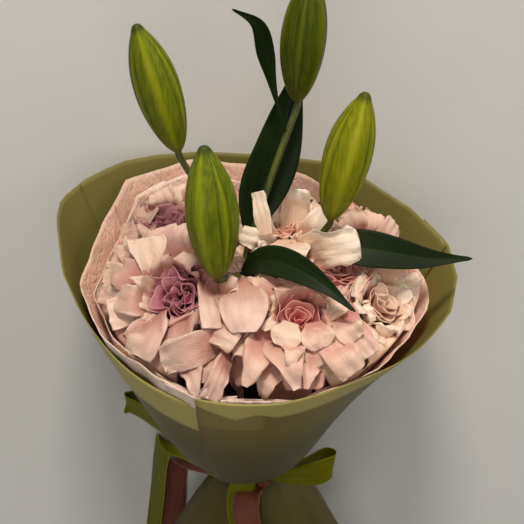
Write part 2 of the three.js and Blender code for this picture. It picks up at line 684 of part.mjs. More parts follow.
const bouquet = new THREE.Group();

function place(name, solid, material) {
  const mesh = new THREE.Mesh(geometryFrom(solid), material);
  mesh.name = name;
  bouquet.add(mesh);
}

for (const sheet of SHEETS) {
  place(sheet.name, wrapSheet(sheet.family, sheet), sheet.family === FILM ? COLOURS.film : COLOURS.tissue);
}

place("binding_cord", ring(BINDING, BAND_SIDES), COLOURS.cord);
place("ribbon_green", greenBow(), COLOURS.greenRibbon);
place("ribbon_pink", pinkRibbon(), COLOURS.pinkRibbon);

place("lily_stem", lilyStem(), COLOURS.lilyStem);
for (const bud of BUDS) place(bud.name, lilyBud(bud), COLOURS.bud);

const blooms = ROSES.map((rose) => ({ ...rose, ...bloomFrame(rose) }));
const lilyWay = [lilyStem(SEAT_GAP), ...BUDS.map((bud) => lilyBud(bud, SEAT_GAP))];
const room = bowlRoom();

// The stems keep the blooms' own order round the axis, so that none crosses another.
const byAngle = [...blooms].sort((a, b) => Math.atan2(a.top.y, a.top.x) - Math.atan2(b.top.y, b.top.x));
const firstAngle = Math.atan2(byAngle[0].top.y, byAngle[0].top.x);
byAngle.forEach((bloom, k) => {
  bloom.neckAngle = firstAngle + (2 * Math.PI * k) / byAngle.length;
});

blooms.forEach((bloom, i) => {
  const draw = drawer(i + 1);
  const name = "rose_" + (i + 1);
  const planes = borders(bloom, blooms);
  const heartSolid = heart(draw).transform(bloom.frame.elements);
  const petals = PETAL_LAYERS.flatMap((layer, l) =>
    Array.from({ length: layer.petals }, (_, k) => {
      const angle = (2 * Math.PI * (k + 0.5 * l + 0.16 * (draw() - 0.5))) / layer.petals;
      const local = new THREE.Vector3(Math.cos(angle), Math.sin(angle), 0);
      const direction = local.transformDirection(bloom.frame);
      const reach = layer.rows[layer.rows.length - 1][0];
      return petal(layer, angle, freeShare(bloom, direction, planes, reach), draw);
    }),
  );
  let solid = joined([cup(), ...petals]).transform(bloom.frame.elements);
  for (const { normal, offset, wall } of planes) {
    if (!wall) solid = solid.trimByPlane(normal.clone().negate().toArray(), -offset);
  }
  solid = solid.intersect(room);
  const stalk = roseStem(bloom, bloom.neckAngle);
  for (const way of lilyWay) solid = solid.subtract(way);
  place(name + "_petals", joined([solid]), COLOURS.petal);
  place(name + "_heart", heartSolid, COLOURS.heart);
  place(name + "_stem", stalk, COLOURS.roseStem);
});

// Laid on its back: the blooms point to -Y and a little up, and the front of the bouquet looks up.
bouquet.quaternion.setFromRotationMatrix(
  new THREE.Matrix4().makeBasis(
    new THREE.Vector3(-1, 0, 0),
    new THREE.Vector3(0, -Math.sin(LIE_TILT), -Math.cos(LIE_TILT)),
    new THREE.Vector3(0, -Math.cos(LIE_TILT), Math.sin(LIE_TILT)),
  ),
);
const laid = new THREE.Box3().setFromObject(bouquet, true);
const centre = laid.getCenter(new THREE.Vector3());
bouquet.position.set(-centre.x, -centre.y, -laid.min.z);

export default bouquet;
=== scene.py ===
# The looks of a wrapped bouquet that lies on its back: eight reflexed roses and a lily stem in bud, in pink
# tissue and olive film, tied with a green and a pink ribbon. Points are worked out in the bouquet's own
# frame, in millimetres: +Z up the stems, -Y to the front, and the origin where the bowl of the wrap begins.

import math

import bpy
import numpy as np
from mathutils import Matrix, Vector


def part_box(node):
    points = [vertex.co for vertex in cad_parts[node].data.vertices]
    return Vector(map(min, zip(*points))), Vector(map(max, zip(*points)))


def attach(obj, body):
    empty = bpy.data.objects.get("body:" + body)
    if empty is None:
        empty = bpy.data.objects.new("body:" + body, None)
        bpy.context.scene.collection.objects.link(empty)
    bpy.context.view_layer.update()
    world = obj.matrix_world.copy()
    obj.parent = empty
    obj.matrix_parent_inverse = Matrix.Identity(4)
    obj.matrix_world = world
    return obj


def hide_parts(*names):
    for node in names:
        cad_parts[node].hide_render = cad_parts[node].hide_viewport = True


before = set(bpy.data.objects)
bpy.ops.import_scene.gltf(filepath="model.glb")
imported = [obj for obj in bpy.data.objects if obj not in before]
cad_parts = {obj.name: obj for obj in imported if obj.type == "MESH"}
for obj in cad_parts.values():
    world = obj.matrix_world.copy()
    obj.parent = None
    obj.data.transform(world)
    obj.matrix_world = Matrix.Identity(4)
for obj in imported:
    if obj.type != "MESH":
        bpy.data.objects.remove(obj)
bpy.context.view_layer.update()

MM = 0.001
BODY = "root"

# The bouquet's frame in the row frame, from the two places where the table touches it.
TABLE_AT_RIM = (131, 218)
TABLE_AT_SKIRT = (58, -170)
TILT = math.atan2(TABLE_AT_RIM[0] - TABLE_AT_SKIRT[0], TABLE_AT_RIM[1] - TABLE_AT_SKIRT[1])
TO_ROW = np.array([[-1, 0, 0], [0, -math.sin(TILT), -math.cos(TILT)], [0, -math.cos(TILT), math.sin(TILT)]])
CORD_MIDDLE = np.array([0, 0, -14])
ORIGIN = np.mean(np.array(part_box("binding_cord")), axis=0) - TO_ROW @ CORD_MIDDLE * MM
TABLE_NORMAL = np.array([0, math.cos(TILT), -math.sin(TILT)])
TABLE_DISTANCE = TABLE_AT_RIM[0] * TABLE_NORMAL[1] + TABLE_AT_RIM[1] * TABLE_NORMAL[2]


def in_row(points):
    return ORIGIN + np.asarray(points, float) @ TO_ROW.T * MM


# The camera stands where the photographer stood. With the stems upright it looks down by LOOK_DOWN, and a
# pixel of the photograph is MM_PER_PIXEL wide at the blooms.
LOOK_AT = (5, 0, 205)
LOOK_DISTANCE = 1250
LOOK_DOWN = math.radians(39)
MM_PER_PIXEL = 0.85
FRAME_PIXELS = 524
SENSOR = 36
SEES_TO = 20  # metres

camera_data = bpy.data.cameras.new("camera")
camera_data.sensor_width = SENSOR
camera_data.lens = SENSOR * LOOK_DISTANCE / (FRAME_PIXELS * MM_PER_PIXEL)
camera_data.clip_end = SEES_TO
camera = bpy.data.objects.new("camera", camera_data)
bpy.context.scene.collection.objects.link(camera)
toward_camera = np.array([0, -math.cos(LOOK_DOWN), math.sin(LOOK_DOWN)])
image_up = np.array([0, math.sin(LOOK_DOWN), math.cos(LOOK_DOWN)])
camera_axes = [TO_ROW @ axis for axis in (np.array([1, 0, 0]), image_up, toward_camera)]
camera_place = in_row(np.array(LOOK_AT) + LOOK_DISTANCE * toward_camera)
camera.matrix_world = Matrix.Translation(Vector(camera_place)) @ Matrix(camera_axes).transposed().to_4x4()
bpy.context.scene.camera = camera


# Shape helpers

RIPPLE_WAVES = 5
RIPPLE_DEPTH = 3  # the waves seldom add up to more than this
TUBE_START = (0.3, 0.9, 0.2)  # a way that no tube runs along


def smoothstep(x, low, high):
    t = np.clip((np.asarray(x, float) - low) / (high - low), 0, 1)
    return t * t * (3 - 2 * t)


def mixed(a, b, t):
    return a + (b - a) * t


def unit(v):
    v = np.asarray(v, float)
    return v / np.linalg.norm(v, axis=-1, keepdims=True)


def column(first, last, count):
    return np.linspace(first, last, count)[:, None]


def row(first, last, count):
    return np.linspace(first, last, count)[None, :]


def around(angle, x, y):
    """The direction at an angle from x toward y."""
    return np.cos(angle) * x + np.sin(angle) * y


def flat_way(angle):
    return around(angle, np.array([1, 0, 0]), np.array([0, 1, 0]))


def ring_angles(count):
    return np.linspace(0, 2 * math.pi, count, endpoint=False)


def polar(radius, angle, height):
    """Points at a radius and an angle round Z, and at a height."""
    places = np.broadcast_arrays(radius * np.cos(angle), radius * np.sin(angle), height)
    return np.stack(places, axis=-1)


def moved(points, by, way):
    """Points moved along a direction, each by its own distance."""
    return points + by[..., None] * way


def between(a, b, c, d, t):
    """The place at t on a smooth curve from b to c, which comes from a and goes on to d."""
    return b + 0.5 * t * (c - a + t * (2 * a - 5 * b + 4 * c - d + t * (3 * (b - c) + d - a)))


def softened(values):
    """A row of values with each one averaged over seven."""
    return np.convolve(np.pad(values, 3, mode="edge"), np.ones(7) / 7, mode="valid")


def curve(points, count):
    """Evenly numbered points on a smooth curve through the given ones."""
    p = np.asarray(points, float)
    p = np.vstack([2 * p[0] - p[1], p, 2 * p[-1] - p[-2]])
    at = np.linspace(0, len(p) - 3, count)
    i = np.minimum(at.astype(int), len(p) - 4)
    return between(p[i], p[i + 1], p[i + 2], p[i + 3], (at - i)[:, None])


def ring_value(values, degrees):
    """A value at each angle, read smoothly from a ring of evenly spaced values."""
    values = np.asarray(values, float)
    place = np.mod(degrees, 360) / (360 / len(values))
    i = np.floor(place).astype(int)
    return between(*(values[(i + k) % len(values)] for k in (-1, 0, 1, 2)), place - i)


def ripples(points, size, seed):
    """Smooth, repeatable unevenness from -1 to 1, with bumps of about the given size."""
    rng = np.random.default_rng(seed)
    total = 0
    for _ in range(RIPPLE_WAVES):
        way = unit(rng.normal(size=3)) * rng.uniform(0.7, 1.6)
        total = total + np.sin(points @ way * (2 * math.pi / size) + rng.uniform(0, 2 * math.pi))
    return total / RIPPLE_DEPTH


class Shape:
    """Grids of points that become one object. Each point keeps its place on its own grid for the material."""

    def __init__(self):
        self.points, self.faces, self.marks = [], [], []
        self.count = 0

    def add(self, grid, tone=0.5, closed=False, across=None, along=None, capped=False):
        rows, columns = grid.shape[:2]
        ids = self.count + np.arange(rows * columns).reshape(rows, columns)
        beside = np.roll(ids, -1, axis=1) if closed else ids[:, 1:]
        here = ids if closed else ids[:, :-1]
        quads = np.stack([here[:-1], beside[:-1], beside[1:], here[1:]], axis=-1).reshape(-1, 4)
        self.faces += quads.tolist()
        if capped:
            self.faces += [ids[0][::-1].tolist(), ids[-1].tolist()]
        u = row(-1, 1, columns) if across is None else across
        v = column(0, 1, rows) if along is None else along
        marks = [np.broadcast_to(mark, (rows, columns)) for mark in (u, v, tone)]
        self.marks.append(np.stack(marks, axis=-1).reshape(-1, 3))
        self.points.append(grid.reshape(-1, 3))
        self.count += rows * columns

    def add_rod(self, line, radii, sides):
        self.add(tube(line, radii, sides), closed=True, capped=True)

    def build(self, name, material, node, slot, thickness=0.0):
        """The object that stands for a CAD node. Its surface grows to the thickness, half on either side."""
        mesh = bpy.data.meshes.new(name)
        mesh.from_pydata(in_row(np.vstack(self.points)).tolist(), [], self.faces)
        marks = np.vstack(self.marks)
        for i, mark in enumerate(("across", "along", "tone")):
            layer = mesh.attributes.new(mark, "FLOAT", "POINT")
            layer.data.foreach_set("value", np.ascontiguousarray(marks[:, i], dtype=np.float32))
        mesh.materials.append(material)
        mesh.polygons.foreach_set("use_smooth", [True] * len(mesh.polygons))
        mesh.update()
        made = bpy.data.objects.new(name, mesh)
        bpy.context.scene.collection.objects.link(made)
        if thickness:
            solid = made.modifiers.new("thickness", "SOLIDIFY")
            solid.thickness = thickness * MM
            solid.offset = 0
        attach(made, BODY)
        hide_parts(node)
        return made


def tube(line, radii, sides):
    """Rings of points round a line."""
    line = np.asarray(line, float)
    along = unit(np.gradient(line, axis=0))
    side = unit(np.cross(along[0], TUBE_START))
    angles = ring_angles(sides)[:, None]
    rings = []
    for at, way, radius in zip(line, along, np.broadcast_to(radii, len(line))):
        side = unit(side - np.dot(side, way) * way)
        rings.append(at + radius * around(angles, side, np.cross(way, side)))
    return np.array(rings)


# Materials


def srgb(r, g, b):
    """A colour for the nodes, which count light evenly, from the usual values of 0 to 255."""
    linear = [((c / 255 + 0.055) / 1.055) ** 2.4 if c > 10 else c / 255 / 12.92 for c in (r, g, b)]
    return (*linear, 1.0)


class Finish:
    """A material whose nodes are made one by one. Each maker returns the socket to go on with."""

    def __init__(self, name):
        self.material = bpy.data.materials.new(name)
        self.material.use_nodes = True
        self.tree = self.material.node_tree
        self.tree.nodes.clear()

    def node(self, kind, inputs, **settings):
        made = self.tree.nodes.new("ShaderNode" + kind)
        for key, value in settings.items():
            setattr(made, key, value)
        for key, value in inputs.items():
            if isinstance(value, bpy.types.NodeSocket):
                self.tree.links.new(value, made.inputs[key])
            else:
                made.inputs[key].default_value = value
        return made

    def mark(self, name):
        return self.node("Attribute", {}, attribute_name=name).outputs["Fac"]

    def math(self, operation, a, b=0.0):
        return self.node("Math", {0: a, 1: b}, operation=operation).outputs[0]

    def times(self, a, b):
        return self.math("MULTIPLY", a, b)

    def plus(self, a, b):
        return self.math("ADD", a, b)

    def spread(self, value, low, high, to_low=0.0, to_high=1.0, smooth=True):
        kind = "SMOOTHSTEP" if smooth else "LINEAR"
        inputs = {"Value": value, "From Min": low, "From Max": high, "To Min": to_low, "To Max": to_high}
        return self.node("MapRange", inputs, interpolation_type=kind).outputs["Result"]

    def place(self):
        return self.node("TexCoord", {}).outputs["Object"]

    def scaled_place(self, x, y, z):
        return self.node("Mapping", {"Vector": self.place(), "Scale": (x, y, z)}).outputs[0]

    def stretched(self, x, y, z):
        return self.node("CombineXYZ", {"X": x, "Y": y, "Z": z}).outputs[0]

    def noise(self, scale, detail=2.0, roughness=0.5, where=None):
        """Clouds that are so many to a metre, or to one unit of another place where that is given."""
        if where is None:
            where = self.place()
        inputs = {"Vector": where, "Scale": scale, "Detail": detail, "Roughness": roughness}
        return self.node("TexNoise", inputs).outputs["Fac"]

    def mix(self, factor, a, b):
        """One colour over another. A colour given as three numbers is read by srgb."""
        a, b = (srgb(*c) if isinstance(c, tuple) else c for c in (a, b))
        return self.node("Mix", {"Factor": factor, 6: a, 7: b}, data_type="RGBA").outputs[2]

    def bump(self, height, strength, distance):
        inputs = {"Height": height, "Strength": strength, "Distance": distance}
        return self.node("Bump", inputs).outputs["Normal"]

    def surface(self, colour, roughness, normal=None, **inputs):
        given = {"Base Color": colour, "Roughness": roughness}
        given.update({key.replace("_", " "): value for key, value in inputs.items()})
        if normal is not None:
            given["Normal"] = normal
        shader = self.node("BsdfPrincipled", given).outputs["BSDF"]
        out = self.tree.nodes.new("ShaderNodeOutputMaterial")
        self.tree.links.new(shader, out.inputs["Surface"])
        return self.material


def petal_finish(name, base, middle, edge, pale, dusky, paling=0.6):
    """Velvety petal: deep at its root, partly its own colour and partly painted shade deep in the bloom,
    paler to its edge, with fine veins that fan out.
    """
    f = Finish(name)
    across, along, tone = f.mark("across"), f.mark("along"), f.mark("tone")
    duskier = f.mix(f.spread(tone, 0.4, 0.0, 0, 0.8), middle, dusky)
    own = f.mix(f.spread(tone, 0.45, 1.0, 0, 0.9), duskier, pale)
    # Deep at the root: the petal's own root colour, and painted shade where it lies deep in the bloom.
    root_colour_and_shade = f.mix(f.spread(along, 0.1, 0.5), base, own)
    rim = f.math("MAXIMUM", f.spread(along, 0.5, 0.95), f.spread(f.math("ABSOLUTE", across), 0.4, 1.0))
    paled = f.mix(f.times(rim, paling), root_colour_and_shade, edge)
    patches = f.noise(40, 3)
    flushed = f.mix(f.spread(patches, 0.42, 0.75, 0, 0.35), paled, dusky)
    fan = f.stretched(f.plus(f.times(across, 18), f.times(patches, 5)), f.times(along, 2), f.times(tone, 40))
    veins = f.noise(1.0, 4, 0.6, where=fan)
    veined = f.mix(f.spread(veins, 0.4, 0.72, 0, 0.1), flushed, base)
    wrinkles = f.noise(160, 4, 0.6)
    folds = f.noise(55, 3, 0.4)
    strayed = f.plus(f.times(across, 5), f.times(patches, 4))
    loose = f.stretched(strayed, f.times(along, 1.6), f.times(tone, 30))
    from_line = f.math("ABSOLUTE", f.math("SUBTRACT", f.noise(1.0, 2, where=loose), 0.5))
    ridges = f.spread(from_line, 0.0, 0.1, 1.0, 0.0)
    fine = f.plus(f.times(veins, 0.06), f.times(wrinkles, 0.45))
    height = f.plus(fine, f.plus(folds, f.times(ridges, 0.1)))
    return f.surface(veined, f.spread(wrinkles, 0.3, 0.7, 0.46, 0.62), f.bump(height, 0.7, 0.002),
                     Subsurface_Weight=0.1, Subsurface_Scale=0.0015, Subsurface_Radius=(1.0, 0.6, 0.45),
                     Specular_IOR_Level=0.35)


def film_finish():
    """Frosted wrapping film. Its cuffs are lighter: two layers of it, with painted light where light comes
    through them. Low in the bowl and low on the front it is painted darker, as shade.
    """
    f = Finish("olive_film")
    along, tone = f.mark("along"), f.mark("tone")
    # Painted shade: darker low in the bowl.
    inside = f.mix(f.spread(along, 0.2, 0.8, 0.25, 1.0), (76, 66, 24), (124, 114, 58))
    # Painted shade: a tone below 0.4 darkens the front low down and the skirt.
    shade = f.mix(f.spread(tone, 0.0, 0.4, smooth=False), (66, 58, 22), inside)
    # The cuff colour: a doubled layer, with painted light coming through it.
    cuffed = f.mix(f.spread(tone, 0.55, 1.0, smooth=False), shade, (182, 166, 94))
    clouded = f.mix(f.spread(f.noise(7, 3), 0.35, 0.75, 0, 0.3), cuffed, (108, 98, 46))
    grain = f.noise(900)
    height = f.plus(f.times(grain, 0.08), f.noise(16))
    return f.surface(clouded, f.spread(grain, 0.3, 0.7, 0.46, 0.56), f.bump(height, 0.25, 0.004),
                     Subsurface_Weight=0.1, Subsurface_Scale=0.01, Specular_IOR_Level=0.3)


def tissue_finish():
    """Pink wrapping tissue, cream along its folded edge, with sharp creases and a fine tooth. It is painted
    darker low in the bowl, as shade.
    """
    f = Finish("pink_tissue")
    along, tone = f.mark("along"), f.mark("tone")
    # Painted shade: the tissue darkens low in the bowl.
    deep = f.mix(f.spread(along, 0.3, 0.95), (168, 106, 86), (228, 184, 162))
    edged = f.mix(f.spread(tone, 0.6, 1.0, smooth=False), deep, (246, 218, 200))
    warp = f.node("TexNoise", {"Scale": 18.0}).outputs["Color"]
    bent = f.node("MixRGB", {0: 0.08, 1: f.place(), 2: warp}).outputs[0]
    from_crease = f.node("TexVoronoi", {"Vector": bent, "Scale": 34}, feature="DISTANCE_TO_EDGE").outputs[0]
    creased = f.mix(f.spread(from_crease, 0.0, 0.05, 0.4, 0.0), edged, (250, 226, 210))
    cloud = f.noise(30, 3)
    clouded = f.mix(f.spread(cloud, 0.4, 0.75, 0, 0.22), creased, (205, 150, 132))
    tooth = f.noise(1400)
    facets = f.spread(from_crease, 0.0, 0.25, 0.0, 0.6, smooth=False)
    height = f.plus(f.plus(f.times(tooth, 0.02), facets), cloud)
    return f.surface(clouded, f.spread(tooth, 0.3, 0.7, 0.6, 0.74), f.bump(height, 0.5, 0.0024),
                     Subsurface_Weight=0.1, Subsurface_Scale=0.002, Sheen_Weight=0.1)


def leaf_finish():
    """Lily leaf with parallel veins, a paler sunk midrib and faint light patches."""
    f = Finish("lily_leaf")
    across, along, tone = f.mark("across"), f.mark("along"), f.mark("tone")
    side = f.math("ABSOLUTE", across)
    veins = f.math("SINE", f.times(across, 42))
    streaks = f.noise(1, 3, where=f.stretched(f.times(across, 30), f.times(along, 2), tone))
    green = f.mix(f.spread(streaks, 0.3, 0.75), (9, 20, 2), (26, 42, 6))
    ribbed = f.mix(f.spread(side, 0.0, 0.07, 0.4, 0.0), green, (46, 70, 18))
    lined = f.mix(f.spread(veins, 0.55, 1.0, 0, 0.3), ribbed, (10, 26, 6))
    patched = f.mix(f.spread(f.noise(18), 0.4, 0.75, 0, 0.35), lined, (30, 54, 10))
    height = f.plus(f.times(veins, 0.25), f.spread(side, 0.0, 0.12, -1.0, 0.0))
    return f.surface(patched, f.spread(streaks, 0.3, 0.7, 0.48, 0.6), f.bump(height, 0.15, 0.0004),
                     Specular_IOR_Level=0.14, Coat_Weight=0.02, Coat_Roughness=0.35)


def bud_finish(name, deep, bright, rib):
    """Waxy lily bud: dark in its seams and at its tip, pale along its ribs, and browner at its base."""
    f = Finish(name)
    seam, along = f.mark("across"), f.mark("along")
    streaks = f.noise(130, 3, where=f.scaled_place(3, 0.3, 3))
    body = f.mix(f.spread(streaks, 0.25, 0.75), deep, bright)
    ribbed = f.mix(f.spread(seam, 0.5, 1.0, 0.0, 0.6), body, rib)
    seamed = f.mix(f.spread(seam, 0.0, 0.4, 0.4, 0.0), ribbed, (48, 58, 1))
    based = f.mix(f.spread(along, 0.0, 0.16, 0.6, 0.0), seamed, (92, 88, 16))
    tipped = f.mix(f.spread(along, 0.93, 0.99, 0, 0.8), based, (40, 56, 8))
    dew = f.noise(500)
    height = f.plus(f.times(streaks, 0.5), f.times(dew, 0.2))
    return f.surface(tipped, f.spread(dew, 0.3, 0.7, 0.42, 0.54), f.bump(height, 0.25, 0.0006),
                     Subsurface_Weight=0.08, Subsurface_Scale=0.002,
                     Specular_IOR_Level=0.18, Coat_Weight=0.02)


def stalk_finish(name, dark, light):
    """Green stalk with long streaks and a few brown spots."""
    f = Finish(name)
    streaks = f.noise(40, 3, where=f.scaled_place(6, 0.5, 2))
    green = f.mix(f.spread(streaks, 0.3, 0.7), dark, light)
    spotted = f.mix(f.spread(f.noise(130, 3), 0.58, 0.75, 0, 0.4), green, (92, 62, 34))
    return f.surface(spotted, 0.45, f.bump(streaks, 0.3, 0.0005), Coat_Weight=0.1)


def satin_finish(name, dark, light, painted_gleam):
    """Satin ribbon: a fine weave across, long soft streaks along it, and hems painted brighter as a
    highlight.
    """
    f = Finish(name)
    across, along = f.mark("across"), f.mark("along")
    weft = f.math("SINE", f.times(along, 2600))
    threads = f.noise(1, where=f.stretched(f.times(across, 60), f.times(along, 8), 0.0))
    body = f.mix(f.spread(threads, 0.3, 0.7), dark, light)
    hem = f.spread(f.math("ABSOLUTE", across), 0.9, 0.97, 0.0, 0.4)
    height = f.plus(f.times(weft, 0.2), f.plus(threads, hem))
    # Painted highlight along the hems.
    hemmed = f.mix(hem, body, painted_gleam)
    return f.surface(hemmed, f.spread(threads, 0.3, 0.7, 0.26, 0.36), f.bump(height, 0.2, 0.0003),
                     Anisotropic=0.6, Specular_IOR_Level=0.22, IOR=1.35)


def twine_finish():
    """Natural twine, with the twist of its fibres and a pale fuzz."""
    f = Finish("twine")
    wave = {"Vector": f.place(), "Scale": 420, "Distortion": 3.0, "Detail": 2.0}
    fibres = f.node("TexWave", wave).outputs["Fac"]
    body = f.mix(fibres, (120, 96, 60), (192, 166, 118))
    fuzzy = f.mix(f.spread(f.noise(700, 3), 0.4, 0.8, 0, 0.3), body, (210, 190, 150))
    return f.surface(fuzzy, 0.9, f.bump(fibres, 0.6, 0.0008), Sheen_Weight=0.2)


# The wrap

NECK_HEIGHT = 48
NECK_SHARE = 0.12
PLEATS = 6
BOWL_PLEAT = 7
# Where the bowl is drawn in, and how far, low down and higher up
PINCH_FACING, PINCH_LOW, PINCH_HIGH = 322, 0.15, 0.35
SKIRT_FLARE = 0.55
LAYER_STEP = 1.4
SHEET_SINK = 0.4  # how far inside its layer's top a sheet lies
SHEET_STEP = 3  # degrees from one column of a sheet's points to the next
CUFF_STAND = 0.75  # how far a cuff stands out from its sheet
CUFF_ROOM = 0.8  # and how much nearer to the table it may lie
# The folds inside a tissue: how far the first stands out, how much further in the next is, and an upper edge
INNER_STAND, INNER_STEP, INNER_LEAN = -2.6, 2, 3.4
INNER_ROOM, INNER_ROOM_STEP = 2.8, 1.5
FILM_THICKNESS, TISSUE_THICKNESS = 0.35, 0.3
FILM_ROOM, TISSUE_ROOM = 0.3, 2.6  # how near to the table the sheets may lie
CRUMPLE_OUTER, CRUMPLE_INNER = 34, 26  # the size of the unevenness on a sheet and on the folds inside it
FILM = {
    "foot": -6, "neck": 19.6, "bottom": -170, "skirt": (84, 66), "skirt_pleat": 5,
    "radius": [168, 152, 149, 143, 152, 166, 168, 153, 149, 152, 150, 157],
    "height": [190, 203, 216, 222, 229, 235, 231, 200, 187, 189, 193, 190],
}
FILM_LEFT = dict(FILM, radius=FILM["radius"][:7] + [146, 140, 138, 134, 157],
                 height=FILM["height"][:7] + [184, 171, 158, 165, 186])
TISSUE = {
    "foot": 0, "neck": 15.2, "bottom": -96, "skirt": (34, 26), "skirt_pleat": 2,
    "radius": [141, 123, 120, 119, 128, 139, 140, 145, 139, 138, 139, 139],
    "height": [190, 206, 218, 224, 231, 230, 222, 204, 190, 176, 181, 184],
}


def straight_rim(corners):
    """Radius and height of a straight-edged rim at each degree. A corner is an angle, radius and height."""
    places = [r * flat_way(math.radians(d)) + [0, 0, z] for d, r, z in corners]
    rim = []
    for degree in range(360):
        k = sum(corner[0] <= degree for corner in corners) - 1
        a, b = places[k], places[(k + 1) % len(places)]
        way = flat_way(math.radians(degree))
        gap = b - a
        t = -(a[0] * way[1] - a[1] * way[0]) / (gap[0] * way[1] - gap[1] * way[0])
        at = a + t * gap
        rim.append((math.hypot(at[0], at[1]), at[2]))
    return np.array(rim).T


FILM_RIM = straight_rim([
    (0, 169, 191), (13, 168, 197), (30, 158, 203), (62, 153, 216), (90, 143, 223), (127, 150, 232),
    (139, 158, 236), (153, 166, 237), (164, 173, 236), (172, 169, 233), (188, 160, 214), (212, 149, 190),
    (240, 145, 180), (270, 152, 189), (300, 150, 193), (330, 157, 190), (345, 166, 189),
])
TISSUE_RIM = straight_rim([
    (18, 124, 203), (42, 116, 208), (71, 119, 217), (98, 112, 228), (118, 120, 237), (133, 127, 234),
    (144, 139, 231), (151, 136, 228), (171, 137, 212), (190, 148, 200), (211, 145, 190), (237, 140, 184),
    (254, 145, 180), (284, 141, 180), (312, 142, 184), (327, 142, 186), (346, 146, 188), (356, 141, 193),
])


def wrap_point(family, degrees, place):
    """Points of a family's surface. Place is -1 at the skirt's end, 0 where the neck starts, 1 at the rim."""
    degrees, place = np.broadcast_arrays(np.asarray(degrees, float), np.asarray(place, float))
    a = np.radians(degrees)
    neck, foot = family["neck"], family["foot"]
    t = np.clip(-place, 0, 1)
    end = np.hypot(family["skirt"][0] * np.cos(a), family["skirt"][1] * np.sin(a))
    skirt_radius = neck + (end - neck) * t ** SKIRT_FLARE + family["skirt_pleat"] * t * np.cos(PLEATS * a)
    skirt_height = -NECK_HEIGHT + t * (family["bottom"] + NECK_HEIGHT)
    neck_height = -NECK_HEIGHT + np.clip(place / NECK_SHARE, 0, 1) * (foot + NECK_HEIGHT)
    s = np.clip((place - NECK_SHARE) / (1 - NECK_SHARE), 0, 1)
    front = np.maximum(0, -np.sin(a)) ** 2
    radius, height = ring_value(family["radius"], degrees), ring_value(family["height"], degrees)
    rim_radius, rim_height = TISSUE_RIM if family is TISSUE else FILM_RIM
    straight = smoothstep(place, 0.55, 0.97)
    if family is not TISSUE:
        straight = straight * smoothstep(np.sin(a), -0.45, -0.1)
    radius = mixed(radius, np.interp(degrees, np.arange(360), rim_radius, period=360), straight)
    height = mixed(height, np.interp(degrees, np.arange(360), rim_height, period=360), straight)
    pinch = np.maximum(0, np.cos(a - math.radians(PINCH_FACING))) ** 4
    out = [0, 0.36 + 0.12 * front - PINCH_LOW * pinch, 0.7 + 0.24 * front - PINCH_HIGH * pinch, 1]
    up = [0, 0, 0.49 - 0.07 * front, 1]
    weights = [(1 - s) ** 3, 3 * s * (1 - s) ** 2, 3 * s * s * (1 - s), s ** 3]
    bowl_radius = neck + (radius - neck) * sum(w * o for w, o in zip(weights, out))
    bowl_radius = bowl_radius + 4 * BOWL_PLEAT * (s * (1 - s)) ** 2 * np.cos(PLEATS * a)
    bowl_height = foot + (height - foot) * sum(w * o for w, o in zip(weights, up))
    in_skirt, in_neck = place < 0, place <= NECK_SHARE
    r = np.where(in_skirt, skirt_radius, np.where(in_neck, neck, bowl_radius))
    z = np.where(in_skirt, skirt_height, np.where(in_neck, neck_height, bowl_height))
    return polar(r, a, z)


def wrap_normal(family, degrees, place):
    step = 0.01
    along = wrap_point(family, degrees, np.minimum(1, place + step))
    along = along - wrap_point(family, degrees, np.maximum(-1, place - step))
    across = wrap_point(family, degrees + 1, place) - wrap_point(family, degrees - 1, place)
    return unit(np.cross(across, along))


def on_table(points, room):
    """Lifts what would come nearer to the table than room."""
    over = points @ TABLE_NORMAL - (TABLE_DISTANCE - room)
    return moved(points, -np.maximum(0, over), TABLE_NORMAL)


def creases(degrees, place, seed):
    """How far the folds of the wrap stand out: pulled lines above and below the tie, soft waves elsewhere."""
    rng = np.random.default_rng(seed)
    a = np.radians(degrees)
    pulled = sum(np.cos(k * a + rng.uniform(0, 6.3)) for k in (11, 17, 23)) / 3
    soft = sum(np.cos(k * a + rng.uniform(0, 6.3) + 2 * place) for k in (3, 5, 8)) / 3
    near_tie = np.exp(-((np.abs(place - 0.06) / 0.25) ** 2))
    in_skirt = smoothstep(-place, 0.1, 0.9)
    in_bowl = smoothstep(place, 0.3, 0.7)
    return 1.6 * near_tie * pulled + (4 * in_skirt + 1.2 * in_bowl) * soft + 2.5 * in_skirt * pulled


def wrap_sheet(family, start, end, layer, room, cuff, folds=(), crumple=0, seed=1):
    """One sheet from one angle to another, with its rim folded over outwards by cuff, a share of its height.

    Further folds lie inside it, each so far below the rim and so high. With crumple its bowl is uneven.
    """
    degrees = row(start, end, int((end - start) / SHEET_STEP) + 1)
    rise = np.vstack([column(-1, 0, 20)[:-1], column(0, 0.8, 34)[:-1], column(0.8, 1, 20)]) + 0 * degrees
    fall = 1 - column(0, 1, 8) * np.interp(degrees, *zip(*cuff))
    place = np.vstack([rise, fall])
    is_cuff = np.vstack([np.zeros_like(rise), np.ones_like(fall)])
    points = wrap_point(family, degrees, place)
    stand = (layer + 1) * LAYER_STEP - SHEET_SINK + CUFF_STAND * is_cuff + creases(degrees, place, seed)
    if crumple:
        stand = stand + crumple * ripples(points, CRUMPLE_OUTER, seed + layer) * smoothstep(place, 0.5, 0.8)
    points = moved(points, stand, wrap_normal(family, degrees, place))
    shape = Shape()
    # Cuffs are pale; below them the tone carries the second layer and painted shade.
    tone = np.where(is_cuff, 1, under_tone_and_shade(degrees, place))
    shape.add(on_table(points, room + CUFF_ROOM * (1 - is_cuff)), tone=tone, along=place)
    for k, (below, height) in enumerate(folds):
        lifted, down, band = inner_fold(family, degrees, layer, room, crumple, k, below, height)
        shape.add(lifted, tone=mixed(1.0, 0.7, down), along=band)
    return shape


